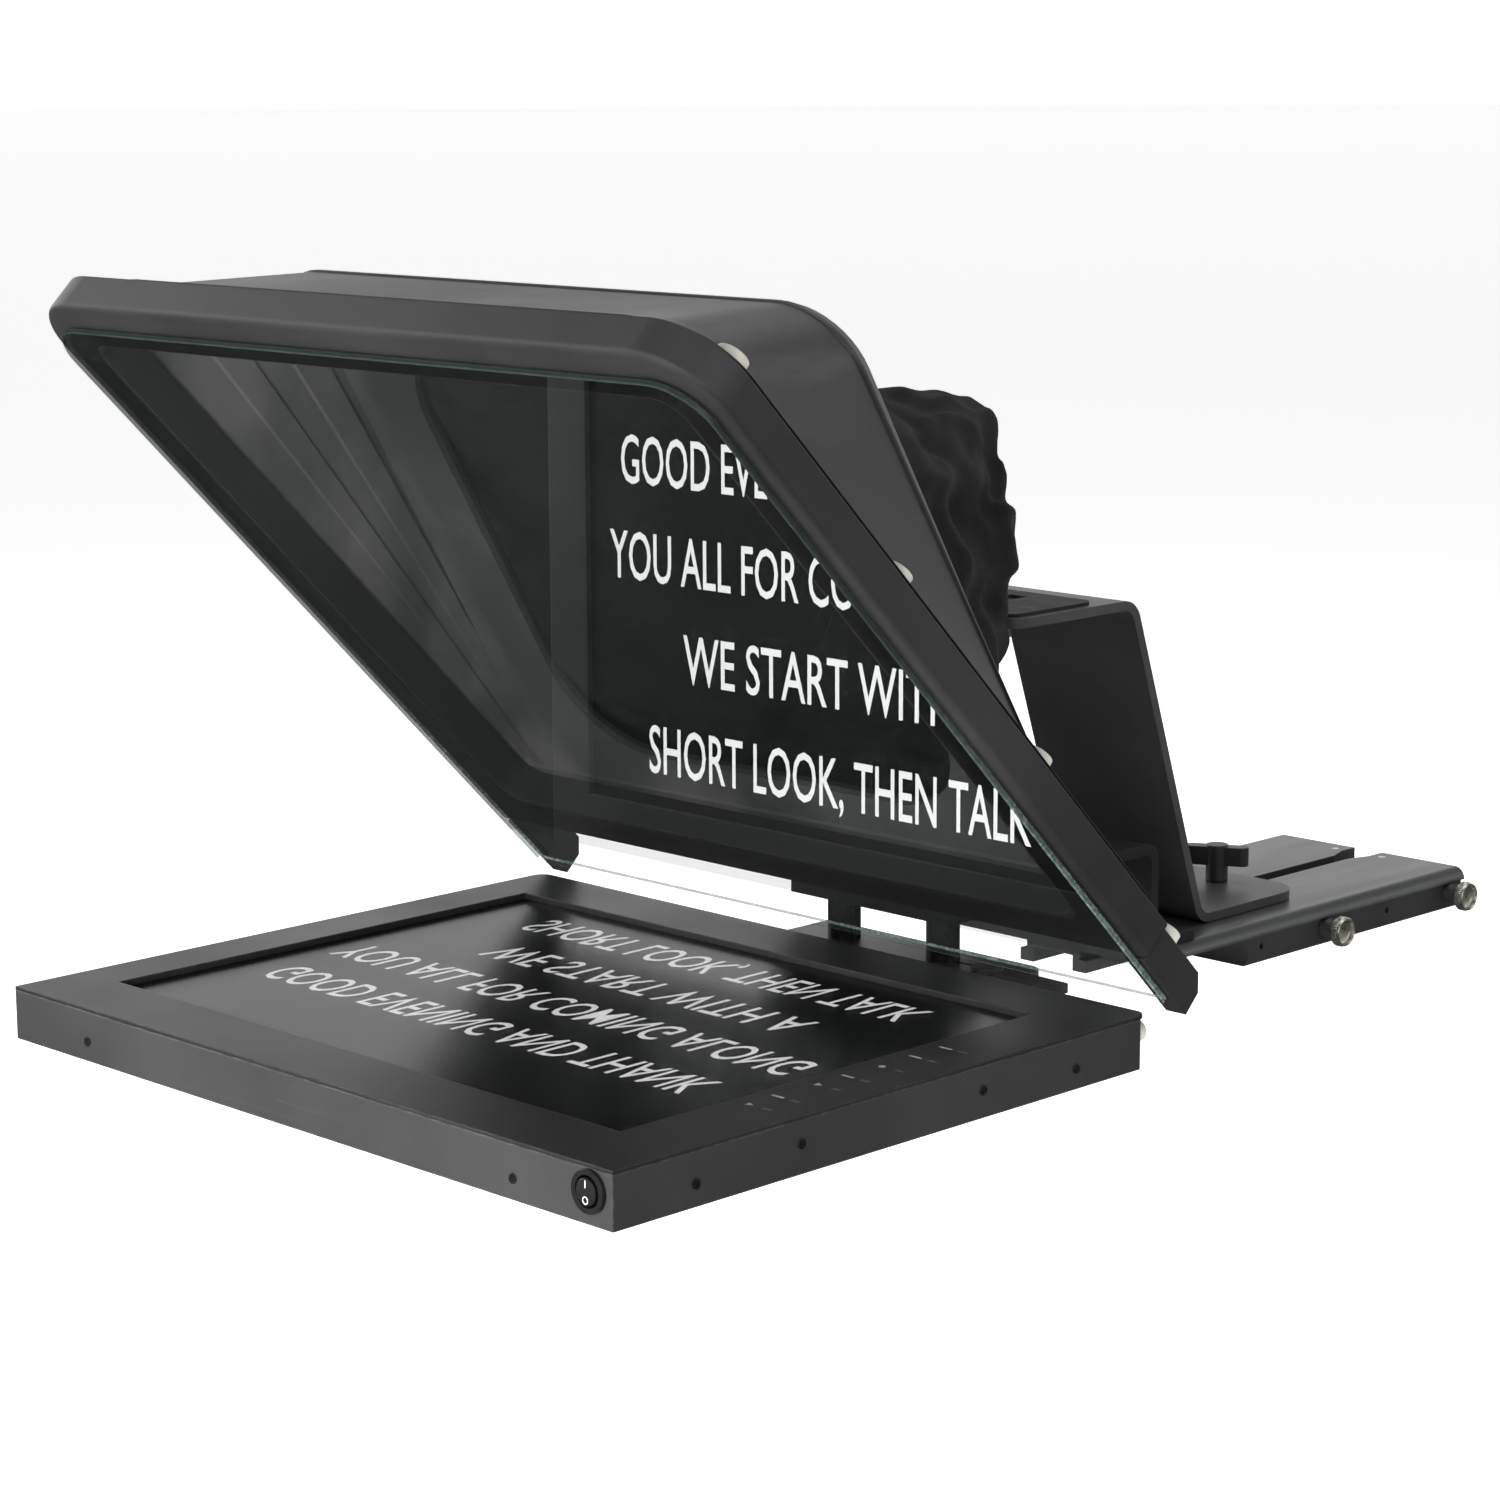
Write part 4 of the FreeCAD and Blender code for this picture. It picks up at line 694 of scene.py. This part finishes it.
# ------------------------------------------------------------------------------- knobs
def make_knob(name, finishes):
    """Knurled thumb screw with a dished end; its neck is painted dark as painted shade."""
    low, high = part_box(name)
    start, end = high.x - 0.0050, high.x
    grip = 7.3
    neck = [(0.0204, 0.0), (0.0204, 2.2), (0.0208, 2.5), (0.0573, 2.5), (0.0573, 5.4),
            (start, 5.4)]
    head = [(start, 6.6), (start + 0.0004, 7.0), (start + 0.0006, grip), (end - 0.0016, grip),
            (end - 0.0013, 7.0), (end - 0.0004, 6.9), (end, 6.6), (end, 6.1)]
    dish = [(end - 0.0003, 5.9), (end - 0.0021, 5.7), (end - 0.0023, 5.3), (end - 0.0023, 0.0)]
    centre = Vector((0, (low.y + high.y) / 2, (low.z + high.z) / 2))
    teeth, steps = 44, 176
    rings = []
    for x, radius in neck + head + dish:
        ring = []
        for k in range(steps):
            angle = 2 * math.pi * k / steps
            cut = 0.16 * (1 + math.cos(teeth * angle)) if radius == grip else 0.0
            r = (radius - cut) * MM
            ring.append(centre + Vector((x, r * math.cos(angle), r * math.sin(angle))))
        rings.append(ring)
    vertices, faces = skin(rings)
    knob = new_piece(name + "_knurled", vertices, faces, name, "knob_nickel", smooth=28)
    paint(knob, finishes["knob_nickel"])
    knob.data.materials.append(finishes["zinc_dark"].made)
    for face in knob.data.polygons:
        # Neck faces take the dark painted shade.
        face.material_index = int(face.index < len(neck) * steps)
    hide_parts(name)


# ------------------------------------------------------------------------------ screen
# Words with the left and right end of each line; millimetres.
LINES = (("GOOD EVENING AND THANK", -138, 122), ("YOU ALL FOR COMING ALONG", -146, 131),
         ("WE START WITH A", -98, 88), ("SHORT LOOK, THEN TALK", -121, 110))
FIRST_LINE_Y, LINE_STEP, LETTER_HEIGHT = -496.3, 44.1, 0.0222


def make_letters(finishes):
    """Four lines of prompter text, mirrored so that they read right in the glass."""
    level = (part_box("lcd_module")[1].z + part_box("screen_glass")[0].z) / 2
    vertices, faces = [], []
    for row, (words, left, right) in enumerate(LINES):
        curve = bpy.data.curves.new("line", "FONT")
        curve.body = words
        curve.size = 1.0
        curve.offset = 0.006
        curve.resolution_u = 3
        text = bpy.data.objects.new("line", curve)
        bpy.context.scene.collection.objects.link(text)
        final = text.evaluated_get(bpy.context.evaluated_depsgraph_get())
        mesh = bpy.data.meshes.new_from_object(final)
        xs = [v.co.x for v in mesh.vertices]
        tops = max(v.co.y for v in mesh.vertices)
        wide = (right - left) * MM / (max(xs) - min(xs))
        tall = LETTER_HEIGHT / tops
        base = (FIRST_LINE_Y + LINE_STEP * row) * MM
        start = min(xs)
        first = len(vertices)
        vertices += [(left * MM + (v.co.x - start) * wide, base - v.co.y * tall, level)
                     for v in mesh.vertices]
        faces += [tuple(first + i for i in reversed(f.vertices)) for f in mesh.polygons]
        bpy.data.objects.remove(text)
        bpy.data.meshes.remove(mesh)
    letters = new_piece("prompt_letters", vertices, faces, "monitor", "screen_surface")
    paint(letters, finishes["lit_letters"])


def make_marks(finishes):
    """Small generic symbols beside the row of keys."""
    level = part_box("monitor_bezel")[1].z + 0.00005
    for name, x, finish, shapes in (
            ("key_marks", 0.1595, "mark_paint", ("tri", "bar", "tri", "bar", "dot", "bar", "bar")),
            ("key_numbers", 0.1685, "mark_grey", ("bar",) * 7)):
        vertices, faces = [], []
        for number, kind in enumerate(shapes, start=1):
            low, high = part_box("osd_key_%d" % number)
            y = (low.y + high.y) / 2
            if kind == "tri":
                points = [(-1.6, -1.6), (1.8, 0), (-1.6, 1.6)]
            elif kind == "bar":
                points = [(-3.2, -0.7), (3.2, -0.7), (3.2, 0.7), (-3.2, 0.7)]
            else:
                turns = [a * math.pi / 8 for a in range(16)]
                points = [(1.5 * math.cos(turn), 1.5 * math.sin(turn)) for turn in turns]
            if finish == "mark_grey":
                points = [(a * 0.7, b * 1.4) for a, b in points]
            first = len(vertices)
            vertices += [(x + a * MM, y + b * MM, level) for a, b in points]
            faces.append(tuple(range(first, len(vertices))))
        marks = new_piece(name, vertices, faces, "monitor", "monitor_case")
        paint(marks, finishes[finish])


def make_switch_marks(finishes):
    """Line and ring on the rocker for its two positions."""
    low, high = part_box("power_rocker")
    x, z, y = (low.x + high.x) / 2, (low.z + high.z) / 2, low.y - 0.00015
    turns = [a * math.pi / 12 for a in range(24)]
    ring = []
    for radius in (1.5, 1.05):
        ring.append([Vector((x + radius * MM * math.cos(turn), y,
                             z - 0.0030 + radius * MM * math.sin(turn))) for turn in turns])
    vertices, faces = skin(ring)
    line = [(-0.25, 1.5), (0.25, 1.5), (0.25, 4.4), (-0.25, 4.4)]
    faces.append(tuple(range(len(vertices), len(vertices) + 4)))
    vertices += [Vector((x + a * MM, y, z + b * MM)) for a, b in line]
    marks = new_piece("rocker_marks", vertices, faces, "power_rocker", "rocker_plastic")
    paint(marks, finishes["mark_paint"])


# ------------------------------------------------------------------------------- scene
set_camera()
finishes = make_finishes()
make_stage()
paint_nodes(finishes)
make_hood(finishes)
make_glass(finishes)
make_sleeve(finishes)
for knob in ("side_knob_front", "side_knob_rear"):
    make_knob(knob, finishes)
make_letters(finishes)
make_marks(finishes)
make_switch_marks(finishes)
